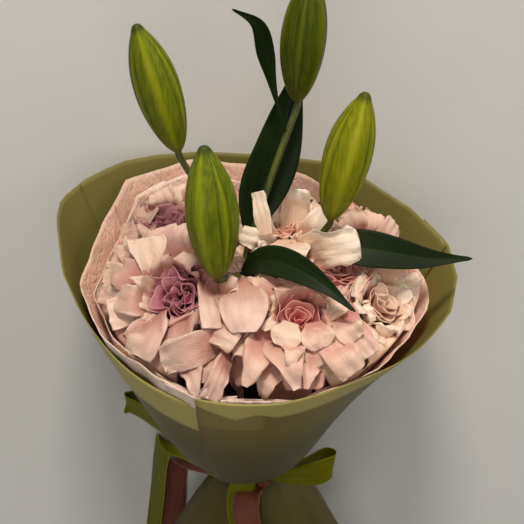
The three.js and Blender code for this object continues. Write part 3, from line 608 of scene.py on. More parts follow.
def inner_fold(family, degrees, layer, room, crumple, k, below, height):
    """The points of a wavy fold inside a sheet, how far down it each row is, and the places on the wrap."""
    wander = np.sin(np.radians((2.3 + k) * degrees + 40 * layer))
    wander = wander + 0.6 * np.sin(np.radians((5.1 - k) * degrees))
    down = column(0, 1, 9)
    deep = height * down * (1 + 0.4 * np.sin(np.radians(3.7 * degrees)))
    band = 0.99 - below - 0.012 * (1.6 + wander) - deep
    inside = wrap_point(family, degrees, band)
    stand = layer * LAYER_STEP + INNER_STAND - INNER_STEP * k - INNER_LEAN * (1 - down)
    stand = stand + 0.7 * crumple * ripples(inside, CRUMPLE_INNER, layer)
    lifted = moved(inside, stand, wrap_normal(family, degrees, band))
    return on_table(lifted, room + INNER_ROOM + INNER_ROOM_STEP * k), down, band


SECOND_FILM = (240, 273)  # the angles where a second film shows through the front
SECOND_FILM_TOP = 0.914


def under_tone_and_shade(degrees, place):
    """How pale a film is below its cuff: a second layer shows in places, the front is painted dark low down
    as shade, and the skirt is painted half in shade.
    """
    front = smoothstep(-np.sin(np.radians(degrees)), 0.1, 0.75)
    # Painted shade: the front is darker low down.
    low = mixed(0.4, 0.05 + 0.2 * smoothstep(place, 0.74, 0.93), front)
    first, last = SECOND_FILM
    beside = smoothstep(degrees, first, first + 6) * (degrees < last)
    second = smoothstep(place, SECOND_FILM_TOP - 0.006, SECOND_FILM_TOP) * beside
    return np.where(place < 0, 0.22, mixed(low, 0.5, second) * smoothstep(place, -0.3, 0.6))


FILM_SHEETS = {
    "film_back": (FILM, dict(start=12, end=156, layer=0, cuff=[(0, 0.16)])),
    "film_left": (FILM_LEFT, dict(start=144, end=288, layer=1, cuff=[(190, 0.16), (230, 0.1)])),
    "film_right": (FILM, dict(start=252, end=384, layer=2,
                              cuff=[(252, 0.02), (264, 0.054), (272, 0.028), (274, 0.05), (384, 0.07)])),
}
ANY_TISSUE = dict(room=TISSUE_ROOM, cuff=[(0, 0.05)], crumple=1.2, seed=2)
TISSUE_SHEETS = {
    "tissue_back": dict(start=24, end=156, layer=0, folds=[(0.01, 0.05)]),
    "tissue_left": dict(start=132, end=264, layer=1, folds=[(0, 0.055), (0.05, 0.06)]),
    "tissue_right": dict(start=240, end=384, layer=2, folds=[(0, 0.05)]),
}

film = film_finish()
tissue = tissue_finish()
for name, (family, ways) in FILM_SHEETS.items():
    shape = wrap_sheet(family, room=FILM_ROOM, **ways)
    sheet = shape.build(name + "_sheet", film, name, "film", FILM_THICKNESS)
for name, ways in TISSUE_SHEETS.items():
    shape = wrap_sheet(TISSUE, **ANY_TISSUE, **ways)
    sheet = shape.build(name + "_sheet", tissue, name, "tissue", TISSUE_THICKNESS)


# The lily

STEM_END = -158
BUDS = {
    # base, tip and radius
    "lily_bud_left": ((-63, 11, 313), (-92, 20, 423), 19),
    "lily_bud_centre": ((-31, -55, 234), (-40, -32, 346), 21.5),
    "lily_bud_top": ((33.5, 40, 342), (43.5, 52, 453), 18.5),
    "lily_bud_right": ((61, -10, 260), (86, 0, 374), 20),
}
BUD_PROFILE = [(0, 0.2), (0.04, 0.4), (0.15, 0.68), (0.32, 0.92), (0.5, 1), (0.68, 0.9), (0.84, 0.62),
               (0.93, 0.36), (0.965, 0.25), (0.985, 0.24), (1, 0.1)]
LILY_NODE = (-15, -21, 203)
STALK_LINES = [
    [(-15, -21, 196), (-24, -6, 235), (-44, 7, 272)],
    [(-15, -21, 200), (-13, -36, 218), (-20, -49, 229)],
    [(-15, -21, 198), (-5, -6, 232), (14, 18, 285)],
    [(-15, -21, 200), (8, -23, 210), (36, -15, 225)],
]
MAIN_STEM = [(0, 0, STEM_END), (0, 0, -90), (0, 0, -30), (0, 0, 0), (-3, -4, 60), (-10, -14, 130), LILY_NODE]
LANCE = (0.14, 0.66, 1, 0.96, 0.72, 0.34, 0.05)  # half widths along a leaf, as shares
HOOKED = (0.08, 0.16, 0.45, 0.95, 0.9, 0.34, 0.06)
LILY_LEAVES = [
    # midline, half width at the widest, the way the upper face looks, and the outline where it isn't a lance
    ([(-13, -23, 208), (2, -31, 231), (25, -48, 241), (52, -70, 240), (79, -91, 228)],
     14, (-0.3, -0.5, 1)),
    ([(50, -14, 236), (74, -22, 240), (102, -26, 238), (140, -27, 231), (179, -24, 228)],
     16, (0, -0.65, 0.75)),
    ([(-5, -5, 232), (2, 16, 258), (17, 36, 292), (28, 55, 330), (39, 70, 368)],
     21, (0, -1, 0.25)),
    ([(24, 30, 318), (15, 39, 350), (8, 41, 384), (1, 38, 413), (-18, 30, 431)],
     8.5, (0.45, -0.85, 0.1), HOOKED),
]
PEDICEL = 3.3
LILY_STEM = 4.5
LEAF_THICKNESS = 0.7
LEAF_TIP = 0.02  # its half width, as a share
LEAF_TONE_STEP = 3.1  # from one leaf to the next, so that their streaks differ
BUD_ROWS, BUD_COLUMNS = 64, 108
PEDICEL_ROWS = 34
SHORT_RUN, LONG_RUN = 3, 9  # how far before the bud a stalk runs straight to it


def bud_grid(base, tip, radius, turn):
    """A closed bud: three broad tepals with a raised midrib, and the backs of the inner three between."""
    base, tip = np.array(base, float), np.array(tip, float)
    length = np.linalg.norm(tip - base)
    share = 0.5 - 0.5 * np.cos(column(0, math.pi, BUD_ROWS))
    full = softened(np.interp(share[:, 0], *zip(*BUD_PROFILE)))[:, None]
    a = ring_angles(BUD_COLUMNS)
    third = np.degrees(np.abs((a + math.pi / 3) % (2 * math.pi / 3) - math.pi / 3))[None, :]
    inner = 13 * np.sin(math.pi * share) ** 0.8 + 2
    groove = np.exp(-(((third - (60 - inner)) / 3.4) ** 2))
    rib = np.exp(-((third / 11) ** 2)) + 0.7 * np.exp(-(((60 - third) / 7) ** 2))
    channel = np.exp(-(((third - 20) / 9) ** 2))
    swell = 0.05 * np.cos(np.radians(3 * third)) + 0.03 * rib - 0.025 * channel - 0.07 * groove
    r = radius * full * (1 + swell * (0.35 + 0.65 * np.sin(math.pi * share)))
    axis = (tip - base) / length
    side = unit(np.cross([0, 1, 0.1], axis))
    ring = around((a + math.radians(turn))[:, None], side, np.cross(axis, side))
    grid = base + share[..., None] * length * axis + r[..., None] * ring[None]
    mark = np.clip(0.5 + 0.5 * rib - 0.9 * groove, 0, 1)
    return grid, mark, share


# The buds' colours are partly painted light: the top bud is painted darker, as shade, and the right one
# paler, as light.
BUD_LOOKS = {
    # how far it is turned, in degrees, and the colours of its deep and bright parts and its ribs
    "lily_bud_left": (40, (86, 98, 1), (118, 126, 3), (150, 154, 14)),
    "lily_bud_centre": (10, (80, 94, 1), (114, 124, 4), (150, 156, 22)),
    "lily_bud_top": (75, (58, 70, 1), (82, 92, 2), (108, 114, 8)),
    "lily_bud_right": (25, (112, 118, 6), (144, 146, 14), (170, 172, 30)),
}
for name, (turn, *colours) in BUD_LOOKS.items():
    shape = Shape()
    grid, mark, share = bud_grid(*BUDS[name], turn)
    shape.add(grid, closed=True, across=mark, along=share, capped=True)
    skin = bud_finish(name.removeprefix("lily_"), *colours)
    shape.build(name + "_skin", skin, name, "lily_bud")


def leaf_points(line, half_width, up, outline=LANCE, rows=44, columns=15):
    """A leaf along its midline, keeled, with a slow wave in its margins."""
    middle = curve(line, rows)
    along = unit(np.gradient(middle, axis=0))
    across = unit(np.cross(along, np.broadcast_to(np.array(up, float), along.shape)))
    normal = unit(np.cross(across, along))
    t = column(0, 1, rows)
    outline = softened(np.interp(t[:, 0], np.linspace(0, 1, len(outline)), outline))
    outline[-1] = LEAF_TIP
    u = row(-1, 1, columns)
    width = (outline * half_width)[:, None]
    keel = width * (0.26 * np.abs(u) ** 1.3 - 0.12)
    wave = 0.05 * half_width * u ** 2 * np.sin(9 * t + 1.5) * np.sign(u)
    blade = middle[:, None] - (width * u)[..., None] * across[:, None]
    return moved(blade, keel + wave, normal[:, None])


def bud_stalk(stalk, base, tip):
    """The line and the radii of a bud's stalk, thicker at both ends, and straight just before the bud."""
    base = np.array(base)
    axis = unit(base - tip)
    straight = SHORT_RUN if stalk is STALK_LINES[1] else LONG_RUN
    line = curve([*stalk, base + straight * axis, base - 2 * axis], PEDICEL_ROWS)
    along = np.linspace(0, 1, PEDICEL_ROWS)
    swelling = 1.3 * smoothstep(along, 0.86, 1) + 0.9 * smoothstep(1 - along, 0.86, 1)
    return line, 0.85 * PEDICEL + swelling


main_line = curve(MAIN_STEM, 60)
stalks = Shape()
stalks.add_rod(main_line, LILY_STEM, 18)
for stalk, (base, tip, _) in zip(STALK_LINES, BUDS.values()):
    stalks.add_rod(*bud_stalk(stalk, base, tip), 14)
lily_stalk = stalk_finish("lily_stalk", (56, 64, 12), (92, 98, 30))
stalks.build("lily_stalks", lily_stalk, "lily_stem", "lily_green")

leaves = Shape()
for i, leaf in enumerate(LILY_LEAVES):
    leaves.add(leaf_points(*leaf), tone=LEAF_TONE_STEP * i)
leaves.build("lily_leaves", leaf_finish(), "lily_stem", "lily_green", LEAF_THICKNESS)


# Roses

ROSE_MEASURES = ("at", "faces", "turn", "kind", "size", "heart")
ROSES = [dict(zip(ROSE_MEASURES, rose)) for rose in [
    ((-68, -52, 217), (-0.25, -0.52, 0.82), 10, "mauve", 1.08, 1.26),
    ((36, -79, 217), (0.12, -0.36, 0.92), 40, "pink", 1.04, 1.1),
    ((-82, 50, 216), (-0.34, 0.1, 0.94), 75, "mauve", 0.95, 1.05),
    ((25, 22, 232), (0.02, -0.2, 0.98), 20, "cream", 0.95, 0.72),
    ((68, -26, 226), (0.2, -0.2, 0.95), 55, "blush", 0.9, 1.1),
    ((110, -46, 203), (0.5, -0.3, 0.8), 0, "ruffled", 0.95, 1.15),
    ((94, 44, 212), (0.4, 0.12, 0.9), 30, "blush", 0.95, 1),
    ((-20, 88, 214), (-0.05, 0.22, 0.97), 65, "blush", 0.95, 1),
]]
HEART_TOP = 38
HEART_LIFT = 12.6
PETAL_THICKNESS = 0.4
HEART_THICKNESS = 0.35
# How far a layer's petals lean at the root and further out, how far the tip curls, where the root is (out and
# up from the foot of the bloom), and where the tip folds
LAYER_MEASURES = ("petals", "length", "width", "lean", "curl", "root", "tip")
PETAL_LAYERS = [dict(zip(LAYER_MEASURES, layer)) for layer in [
    (8, 43, 16, (90, 62), 50, (14, 9), 0.72),
    (9, 60, 19, (82, 18), 35, (12, 7), 0.8),
    (9, 75, 24, (68, -16), 30, (10, 4), 0.84),
    (7, 82, 29, (42, -56), 20, (9, 2), 0.86),
]]
PETAL_RANGES = {
    # ridge along the middle, ruffles, number and depth of pleats, a slow wave along the blade and where it
    # begins, how the root cups, turn from root to tip and sideways sway of the tip
    "ridge": (-0.16, 0.12), "ruffle": (0.6, 1.3), "pleats": (2.5, 4.5), "pleat": (0.4, 1.3),
    "wave": (8, 26), "phase": (0, 1), "cup": (0.03, 0.05), "twist": (-0.3, 0.3), "sway": (-8, 8),
}
FOLD_RADIUS = 0.6
ROOT_WIDTH = 0.22  # a petal's width at its root, as a share
WIDEST = 0.58  # how far along a petal is widest
SIDE_FOLD_LOW = 0.3  # how far along the lower place of a side fold is
SIDE_FOLD_RUN = 0.7  # and from there to the tip
BLADE_SHARES = (0, 0.18, 0.36, 0.54, 0.72, 0.9, 1)
THIRDS = (1 / 3, 2 / 3, 1)
WHOLE_TURN = 6.3
POINTED_SHARE = 0.35  # how many of the petals end in a point
CROWDED_LEAN = 66  # how far, in degrees, a petal without room stands up


def bloom_axes(rose):
    """The three directions of a bloom, the last one the way it faces, and its foot."""
    up = unit(rose["faces"])
    foot = np.array(rose["at"], float) - HEART_TOP * up
    side = unit(np.cross([0, 1, 0], up))
    other = np.cross(up, side)
    turn = math.radians(rose["turn"])
    return np.array([around(turn, side, other), around(turn, other, -side), up]), foot


def folded(points, at, toward, angle):
    """Folds what lies beyond a straight line of a flat petal to its back."""
    toward = unit(toward)
    beyond = (points[..., :2] - at) @ toward
    height = points[..., 2]
    turn = np.clip(beyond / FOLD_RADIUS, 0, angle)
    past = np.maximum(0, beyond - FOLD_RADIUS * angle)
    out = np.minimum(beyond, 0) + (FOLD_RADIUS + height) * np.sin(turn) + past * np.cos(turn)
    up = (FOLD_RADIUS + height) * np.cos(turn) - FOLD_RADIUS - past * np.sin(turn)
    flat = moved(points[..., :2], out - beyond, toward)
    return np.concatenate([flat, up[..., None]], axis=-1)


def petal_shape(petal, rng):
    """A petal with crisp folds, in its own plane: X across, Y from the root to the tip, Z to its face."""
    length, half = petal["length"], petal["width"]
    tip_at, slope, tip_fold = petal["tip"] * length, petal["slope"], petal["tip_fold"]
    past_tip = tip_at + FOLD_RADIUS * max(tip_fold, 0.8)
    blade, bend = column(0, tip_at - 1, 15), column(tip_at - 0.3, past_tip, 4)
    y = np.vstack([blade, bend, column(past_tip + 0.3, length, 3)])
    t = y / length
    power = petal["power"]
    end = np.maximum(1 - np.clip((t - WIDEST) / 0.425, 0, 1) ** power, 0.0005) ** (1 / power)
    whole = half * mixed(petal.get("root_width", ROOT_WIDTH), 1, smoothstep(t, 0, WIDEST)) * end
    before_tip = 1 - smoothstep(t, petal["tip"] - 0.12, petal["tip"] - 0.02)
    sides = ((-1, petal["left"]), (1, petal["right"]))
    columns = []
    for sign, (low, high, turn) in sides:
        fold = np.clip(half * mixed(low, high, (t - SIDE_FOLD_LOW) / SIDE_FOLD_RUN), 0.2, whole)
        width = mixed(fold, whole, before_tip)
        past = np.minimum(fold + FOLD_RADIUS * turn, width)
        places = [fold * share for share in BLADE_SHARES]
        places += [mixed(fold, past, share) for share in THIRDS]
        places += [mixed(past, width, share) for share in THIRDS]
        columns.append([sign * place for place in places])
    x = np.hstack(columns[0][:0:-1] + columns[1])
    slant = np.exp(-(((t - petal["tip"]) / 0.2) ** 2)) * smoothstep(t, 0.2, 0.6)
    y = y + slope * x * slant
    points = np.stack([x, y, relief(petal, x, y, t, whole, rng)], axis=-1)
    points = folded(points, (0, tip_at), (-slope, 1), tip_fold)
    for sign, (low, high, turn) in sides:
        across, along = sign * half * (high - low), SIDE_FOLD_RUN * length
        at = (sign * half * low, SIDE_FOLD_LOW * length)
        points = folded(points, at, (sign * along, -sign * across), turn)
    return points, x / half, t


def relief(petal, x, y, t, whole, rng):
    """How far a petal's face stands up: a ridge, ruffles that are livelier toward its edges, and pleats."""
    edge = np.abs(x) / petal["width"]
    waves = rng.uniform(0, WHOLE_TURN, size=6)
    rough = np.sin(0.16 * x + waves[0] + 0.07 * y) + 0.6 * np.sin(0.34 * x - 0.12 * y + waves[1])
    rough = rough + (0.3 + edge) * (np.sin(0.27 * y + waves[2]) + 0.5 * np.sin(0.55 * y + 0.3 * x + waves[3]))
    rough = rough + 0.45 * np.sin(0.9 * y + 0.5 * x + waves[4]) * np.sin(0.7 * x - 0.4 * y + waves[5])
    ridge = petal["ridge"] * (np.hypot(x, 2) - 2)
    pleats = petal["pleats"] * x / np.maximum(whole, 4) + waves[0] + 0.04 * y
    pleats = 2 * np.abs(np.mod(pleats, 2) - 1) - 1
    ruffled = ridge + petal["ruffle"] * smoothstep(t, 0.2, 0.8) * rough
    return ruffled + petal["pleat"] * smoothstep(t, 0.1, 0.5) * pleats


def petal_points(petal, share, rng):
    """A petal that stands out along X: its root cups the bloom, and its blade bends back as it has room."""
    points, across, t = petal_shape(petal, rng)
    length = petal["length"]
    low, high = petal["lean"]
    high = mixed(min(low, CROWDED_LEAN), high, share)
    s = np.linspace(0, 1, 60)
    lean = mixed(low, high, smoothstep(s, 0.05, 0.66)) - petal["curl"] * smoothstep(s, 0.6, 1)
    lean = lean + petal["wave"] * np.sin(2 * math.pi * (1.3 * s + petal["phase"])) * smoothstep(s, 0.25, 0.5)
    lean = np.radians(lean)
    step = np.diff(s, prepend=0) * length
    r = petal["root"][0] + np.cumsum(np.cos(lean) * step)
    z = petal["root"][1] + np.cumsum(np.sin(lean) * step)
    at = np.clip(points[..., 1] / length, 0, 1)
    bend = petal["cup"] * (1 - smoothstep(at, 0.12, 0.6)) + 0.002
    flat = np.sin(bend * points[..., 0]) / bend
    rise = points[..., 2] + (1 - np.cos(bend * points[..., 0])) / bend
    twist = petal["twist"] * at
    flat, rise = around(twist, flat, -rise), around(twist, rise, flat)
    tilt = np.interp(at, s, lean)
    out = np.interp(at, s, r) - rise * np.sin(tilt)
    up = np.interp(at, s, z) + rise * np.cos(tilt)
    return np.stack([out, flat + petal["sway"] * at ** 2, up], axis=-1), across, t


def any_petal(layer, share, rng):
    """The measures of one petal of a layer, a little different each time."""
    petal = dict(layer)
    petal["length"] *= (0.82 + 0.18 * share) * rng.uniform(0.9, 1.08)
    petal["width"] *= rng.uniform(0.88, 1.1)
    petal["lean"] = (layer["lean"][0], layer["lean"][1] + rng.uniform(-18, 18))
    petal["curl"] *= rng.uniform(0.2, 1.6)
    pointed = rng.uniform() < POINTED_SHARE
    inner = rng.uniform(0.02, 0.3, size=2) if pointed else rng.uniform(0.42, 0.8, size=2)
    for side, last in zip(("left", "right"), inner):
        petal[side] = (rng.uniform(0.62, 0.9), last, rng.uniform(1.7, 2.8))
    petal["tip"] *= rng.uniform(0.92, 1.06)
    petal["slope"] = rng.uniform(-0.45, 0.45)
    petal["tip_fold"] = rng.uniform(0.2, 0.7) if pointed else rng.uniform(1.2, 2.8)
    petal["power"] = rng.uniform(2.4, 4.5)
    for measure, limits in PETAL_RANGES.items():
        petal[measure] = rng.uniform(*limits)
    return petal


DOME_TOP = 233  # the blooms' rounded top, and how fast it falls away from the middle
DOME_FALL = 0.0021


def on_blooms(pixel, lift):
    """The place on or over the blooms' rounded top that the camera sees at a place in the photograph."""
    right = (pixel[0] - FRAME_PIXELS / 2) * MM_PER_PIXEL
    up = (FRAME_PIXELS / 2 - pixel[1]) * MM_PER_PIXEL
    start = np.array(LOOK_AT) + LOOK_DISTANCE * toward_camera
    way = np.array([right, 0, 0]) + up * image_up - LOOK_DISTANCE * toward_camera
    a = DOME_FALL * (way[0] ** 2 + way[1] ** 2)
    b = way[2] + 2 * DOME_FALL * (start[0] * way[0] + start[1] * way[1])
    c = start[2] - DOME_TOP - lift + DOME_FALL * (start[0] ** 2 + start[1] ** 2)
    return start + way * (-b - math.sqrt(b * b - 4 * a * c)) / (2 * a)


FOLDS = {
    # where each side folds, as shares of the half width low down and at the tip, and by how much, then where
    # the tip folds and by how much, and how square the end is
    "square": {"left": (0.85, 0.72, 2.5), "right": (0.85, 0.68, 2.4),
               "tip": 0.84, "tip_fold": 2.5, "power": 3.5},
    "pointed": {"left": (0.85, 0.1, 2.4), "right": (0.8, 0.06, 2.5),
                "tip": 0.93, "tip_fold": 0.5, "power": 2.6},
    "round": {"left": (1, 1, 0.2), "right": (1, 1, 0.2),
              "tip": 0.95, "tip_fold": 0.4, "power": 2, "root_width": 0.5},
    "cover": {"left": (0.9, 0.8, 2.2), "right": (0.9, 0.65, 2.2),
              "tip": 0.92, "tip_fold": 0.9, "power": 4, "ruffle": 1.7, "pleat": 1.2, "pleats": 4.4},
    "crisp": {"left": (0.9, 0.62, 2.2), "right": (0.9, 0.7, 2.3),
              "tip": 0.95, "tip_fold": 0.4, "power": 5},
}
SINGLE_RANGES = {"ridge": (-0.1, 0.1), "ruffle": (0.7, 1.3), "pleats": (2.2, 4), "pleat": (0.3, 1.0)}
SINGLE_ROOT_WIDTH = 0.7
SINGLE_PETALS = {
    # root and tip in the photograph, half width, folds, slant of the tip, lift of root, middle and tip, face
    0: [
        ((156, 314), (137, 356), 17, "square", 0.15, (-14, 8, 2), (-0.3, -0.75, 0.6)),
        ((222, 340), (161, 362), 16, "square", -0.35, (-14, 8, 0), (0, -0.85, 0.5)),
        ((188, 356), (196, 397), 13, "pointed", 0, (-22, -2, -8), (0, -0.9, 0.4)),
        ((230, 352), (208, 400), 10, "square", 0, (-18, 3, -6), (0.1, -0.9, 0.4)),
        ((207, 350), (206, 383), 13, "square", 0.2, (-30, -10, -12), (0, -0.9, 0.4)),
        ((204, 322), (236, 344), 13, "crisp", 0.3, (-14, 4, 0), (0.1, -0.8, 0.6)),
        ((207, 278), (212, 328), 11, "square", 0, (-12, 10, 8), (0.3, -0.6, 0.7)),
        ((142, 296), (100, 294), 11, "square", 0.2, (-16, 3, -2), (-0.4, -0.5, 0.8)),
        ((150, 304), (114, 296), 14, "square", -0.2, (-14, 8, 4), (-0.3, -0.6, 0.7)),
        ((152, 282), (113, 257), 13, "square", 0.2, (-14, 7, 6), (-0.3, -0.6, 0.7)),
        ((146, 288), (105, 272), 12, "square", 0.3, (-18, 2, 0), (-0.4, -0.6, 0.7)),
        ((190, 268), (186, 226), 14, "crisp", -0.1, (-12, 6, 18), (0.1, -0.85, 0.5)),
        ((172, 266), (166, 226), 13, "square", -0.1, (-12, 6, 16), (-0.1, -0.85, 0.5)),
        ((206, 270), (214, 238), 12, "crisp", 0.2, (-12, 6, 12), (0.2, -0.8, 0.5)),
        ((166, 266), (140, 225), 9, "pointed", 0, (-14, 8, 12), (-0.1, -0.8, 0.6)),
        ((243, 274), (244, 332), 20, "round", 0, (-8, 13, 8), (0.0, -0.75, 0.65)),
    ],
    1: [
        ((280, 336), (297, 390), 20, "pointed", 0, (-12, 12, 4), (0.1, -0.85, 0.5)),
        ((266, 336), (244, 386), 16, "pointed", 0, (-14, 7, -2), (-0.1, -0.9, 0.4)),
        ((328, 336), (354, 374), 16, "square", 0.1, (-14, 10, 4), (0.2, -0.85, 0.5)),
        ((313, 350), (306, 389), 13, "pointed", 0, (-22, -2, -8), (0, -0.9, 0.4)),
        ((346, 312), (372, 355), 11, "square", 0.2, (-14, 6, 2), (0.2, -0.8, 0.55)),
        ((336, 318), (357, 340), 13, "crisp", 0, (-10, 10, 8), (0.2, -0.7, 0.65)),
        ((291, 322), (282, 346), 13, "round", 0.0, (2, 8, 2), (-0.1, -0.8, 0.6)),
        ((313, 322), (322, 348), 14, "round", 0.0, (2, 9, 3), (0.1, -0.8, 0.6)),
    ],
    2: [
        ((166, 214), (160, 189), 15, "crisp", 0.2, (-10, 8, 18), (-0.1, -0.85, 0.5)),
        ((185, 214), (179, 182), 12, "crisp", 0, (-10, 4, 16), (0, -0.85, 0.5)),
        ((154, 228), (121, 234), 12, "square", 0.2, (-14, 6, 2), (-0.3, -0.6, 0.7)),
        ((158, 216), (133, 210), 11, "square", -0.2, (-14, 6, 8), (-0.3, -0.6, 0.7)),
    ],
    3: [
        ((300, 252), (360, 245), 19, "cover", 0.3, (-6, 20, 30), (0.1, -0.85, 0.5)),
        ((266, 236), (257, 192), 8, "crisp", 0.1, (10, 26, 40), (-0.1, -0.9, 0.4)),
        ((292, 232), (298, 190), 15, "crisp", -0.3, (-10, 8, 30), (0.1, -0.85, 0.5)),
        ((272, 240), (244, 214), 12, "crisp", 0.2, (-10, 6, 12), (-0.2, -0.8, 0.6)),
        ((272, 246), (241, 234), 11, "crisp", -0.2, (-10, 6, 8), (-0.2, -0.8, 0.6)),
        ((274, 250), (247, 256), 10, "crisp", 0.2, (-12, 5, 4), (-0.2, -0.8, 0.6)),
        ((280, 232), (276, 200), 11, "crisp", 0.2, (-12, 2, 16), (0, -0.85, 0.5)),
        ((303, 240), (328, 214), 13, "crisp", 0.2, (-12, 8, 14), (0.1, -0.8, 0.6)),
        ((288, 240), (290, 262), 18, "round", 0, (-4, 9, 4), (0, -0.8, 0.6)),
    ],
    6: [
        ((356, 240), (350, 212), 14, "square", 0.2, (-12, 4, 12), (0.1, -0.8, 0.6)),
        ((372, 240), (375, 213), 13, "square", 0, (-12, 4, 10), (0.1, -0.8, 0.6)),
        ((380, 242), (396, 224), 12, "square", 0.2, (-12, 4, 6), (0.3, -0.7, 0.6)),
    ],
}


def single_petal(root, tip, half, folds, slant, lifts, face, rng):
    """A petal that reaches from one place to another, with its face turned a given way."""
    middle = [(a + b) / 2 for a, b in zip(root, tip)]
    line = curve([on_blooms(place, lift) for place, lift in zip((root, middle, tip), lifts)], 40)
    run = np.concatenate([[0], np.cumsum(np.linalg.norm(np.diff(line, axis=0), axis=1))])
    petal = dict(root_width=SINGLE_ROOT_WIDTH, width=half, slope=slant)
    for measure, limits in SINGLE_RANGES.items():
        petal[measure] = rng.uniform(*limits)
    petal.update(FOLDS[folds])
    petal["length"] = run[-1] / petal["tip"]
    points, across, t = petal_shape(petal, rng)
    way = unit(np.gradient(line, axis=0))
    side = unit(np.cross(way, face))
    up = np.cross(side, way)

    def at(values):
        return np.stack([np.interp(points[..., 1], run, values[:, k]) for k in range(3)], axis=-1)

    x, z = points[..., :1], points[..., 2:]
    return at(line) + x * at(side) + z * at(up), across, mixed(0.42, 1, t)


HEARTS = {
    # petals, ruffle, how far a crest shifts outwards from one end of a petal to the other, how far it leans
    # in, and the height of the outer and the inner petals
    "mauve": {"petals": 12, "ruffle": 5.6, "spiral": 0.3, "tuck": -0.9, "height": (24, 13)},
    "pink": {"petals": 8, "ruffle": 1.7, "spiral": 3.0, "tuck": -0.5, "height": (24, 17)},
    "blush": {"petals": 11, "ruffle": 3.2, "spiral": 1.5, "tuck": -1.2, "height": (22, 22)},
    "cream": {"petals": 11, "ruffle": 2.0, "spiral": 2.4, "tuck": -0.6, "height": (21, 22)},
    "ruffled": {"petals": 10, "ruffle": 3.6, "spiral": 1.5, "tuck": -1.6, "height": (22, 22)},
}
HEART_RADIUS, INNER_RADIUS = 19.5, 3.2
HEART_ROWS, HEART_COLUMNS = 12, 25
HEART_STEP = 2.4  # the turn from one petal of a heart to the next, in radians


def heart_points(i, kind, size, rng):
    """One of the petals in the middle of a bloom, part of a cup with a wavy rim that leans in or flares."""
    share = i / (kind["petals"] - 1)
    v = column(0, 1, HEART_ROWS)
    u = row(-1, 1, HEART_COLUMNS)
    angle = math.radians(mixed(78, 120, share)) * u
    radius = size * mixed(HEART_RADIUS, INNER_RADIUS, share ** 0.85)
    height = mixed(*kind["height"], share) + rng.uniform(-1.6, 1.6)
    rim = smoothstep(v, 0.5, 1)
    waves = rng.uniform(0, WHOLE_TURN, size=3)
    wavy = np.sin(4.2 * u + waves[0]) + 0.7 * np.sin(8.5 * u + waves[1])
    r = radius * (0.5 + 0.5 * np.sin(np.minimum(1, 1.15 * v) * math.pi / 2))
    r = r + kind["spiral"] * 0.5 * u * v - kind["tuck"] * 2.6 * rim ** 2 * (1 - 0.5 * share)
    r = np.maximum(0.8, r + kind["ruffle"] * rim * wavy * mixed(1.0, 0.5, share))
    top = height * (1 - 0.22 * np.abs(u) ** 3) + kind["ruffle"] * 0.6 * np.sin(5 * u + waves[2])
    return polar(r, angle, HEART_LIFT + v * top), v


def turned(points, angle):
    """Points turned round Z."""
    x, y, z = points[..., 0], points[..., 1], points[..., 2]
    return np.stack([around(angle, x, -y), around(angle, y, x), z], axis=-1)


axes = [bloom_axes(rose) for rose in ROSES]
tops = [np.array(rose["at"], float) for rose in ROSES]
OVERLAP = 6  # how far petals of one bloom may lie over the next
SOFT = 7  # and how soon they give way
TISSUE_GAP = 2  # how far inside the tissue petals stay
PAST_RIM = 6  # and up to how far above its rim
HALFWAY_PAST = 4  # how far past the middle between two blooms there is room for a petal
ASIDE = 0.15  # a bloom that is further to the side of a petal than this takes no room from it


def neighbours(n):
    """For each other bloom, the way to it and half the distance."""
    for m, top in enumerate(tops):
        if m != n:
            gap = top - tops[n]
            half = np.linalg.norm(gap) / 2
            yield gap / (2 * half), half


def held_back(points, n):
    """Bends the petals of one bloom along those of its neighbours and along the tissue."""
    for normal, half in neighbours(n):
        beyond = (points - tops[n]) @ normal - half - OVERLAP
        kept = np.where(beyond > -SOFT, -SOFT * np.exp(-np.clip(beyond + SOFT, 0, None) / SOFT), beyond)
        points = moved(points, kept - beyond, normal)
    radius = np.hypot(points[..., 0], points[..., 1])
    degrees = np.degrees(np.arctan2(points[..., 1], points[..., 0]))
    rim_r, rim_z = ring_value(TISSUE["radius"], degrees), ring_value(TISSUE["height"], degrees)
    depth = np.clip(points[..., 2] / rim_z, 0.05, 1)
    limit = rim_r * depth ** 0.6 - TISSUE_GAP
    over = np.maximum(0, radius - limit) * (points[..., 2] < rim_z + PAST_RIM)
    scale = (radius - over) / np.maximum(radius, 1)
    return points * np.stack([scale, scale, np.ones_like(scale)], axis=-1)


def clear_of_line(points, line, radius):
    """Moves points out of a round stalk."""
    for a, b in zip(line[:-1], line[1:]):
        way = b - a
        t = np.clip(((points - a) @ way) / (way @ way), 0, 1)
        off = points - (a + t[..., None] * way)
        distance = np.linalg.norm(off, axis=-1)
        push = np.maximum(0, radius - distance) / np.maximum(distance, 0.2)
        points = moved(points, push, off)
    return points


def free_share(n, direction, reach):
    """How much of its reach a petal has before it meets the next bloom."""
    share = 1.0
    for normal, half in neighbours(n):
        slope = normal @ direction
        if slope > ASIDE:
            share = min(share, (half + HALFWAY_PAST) / slope / reach)
    return float(np.clip(share, 0, 1))


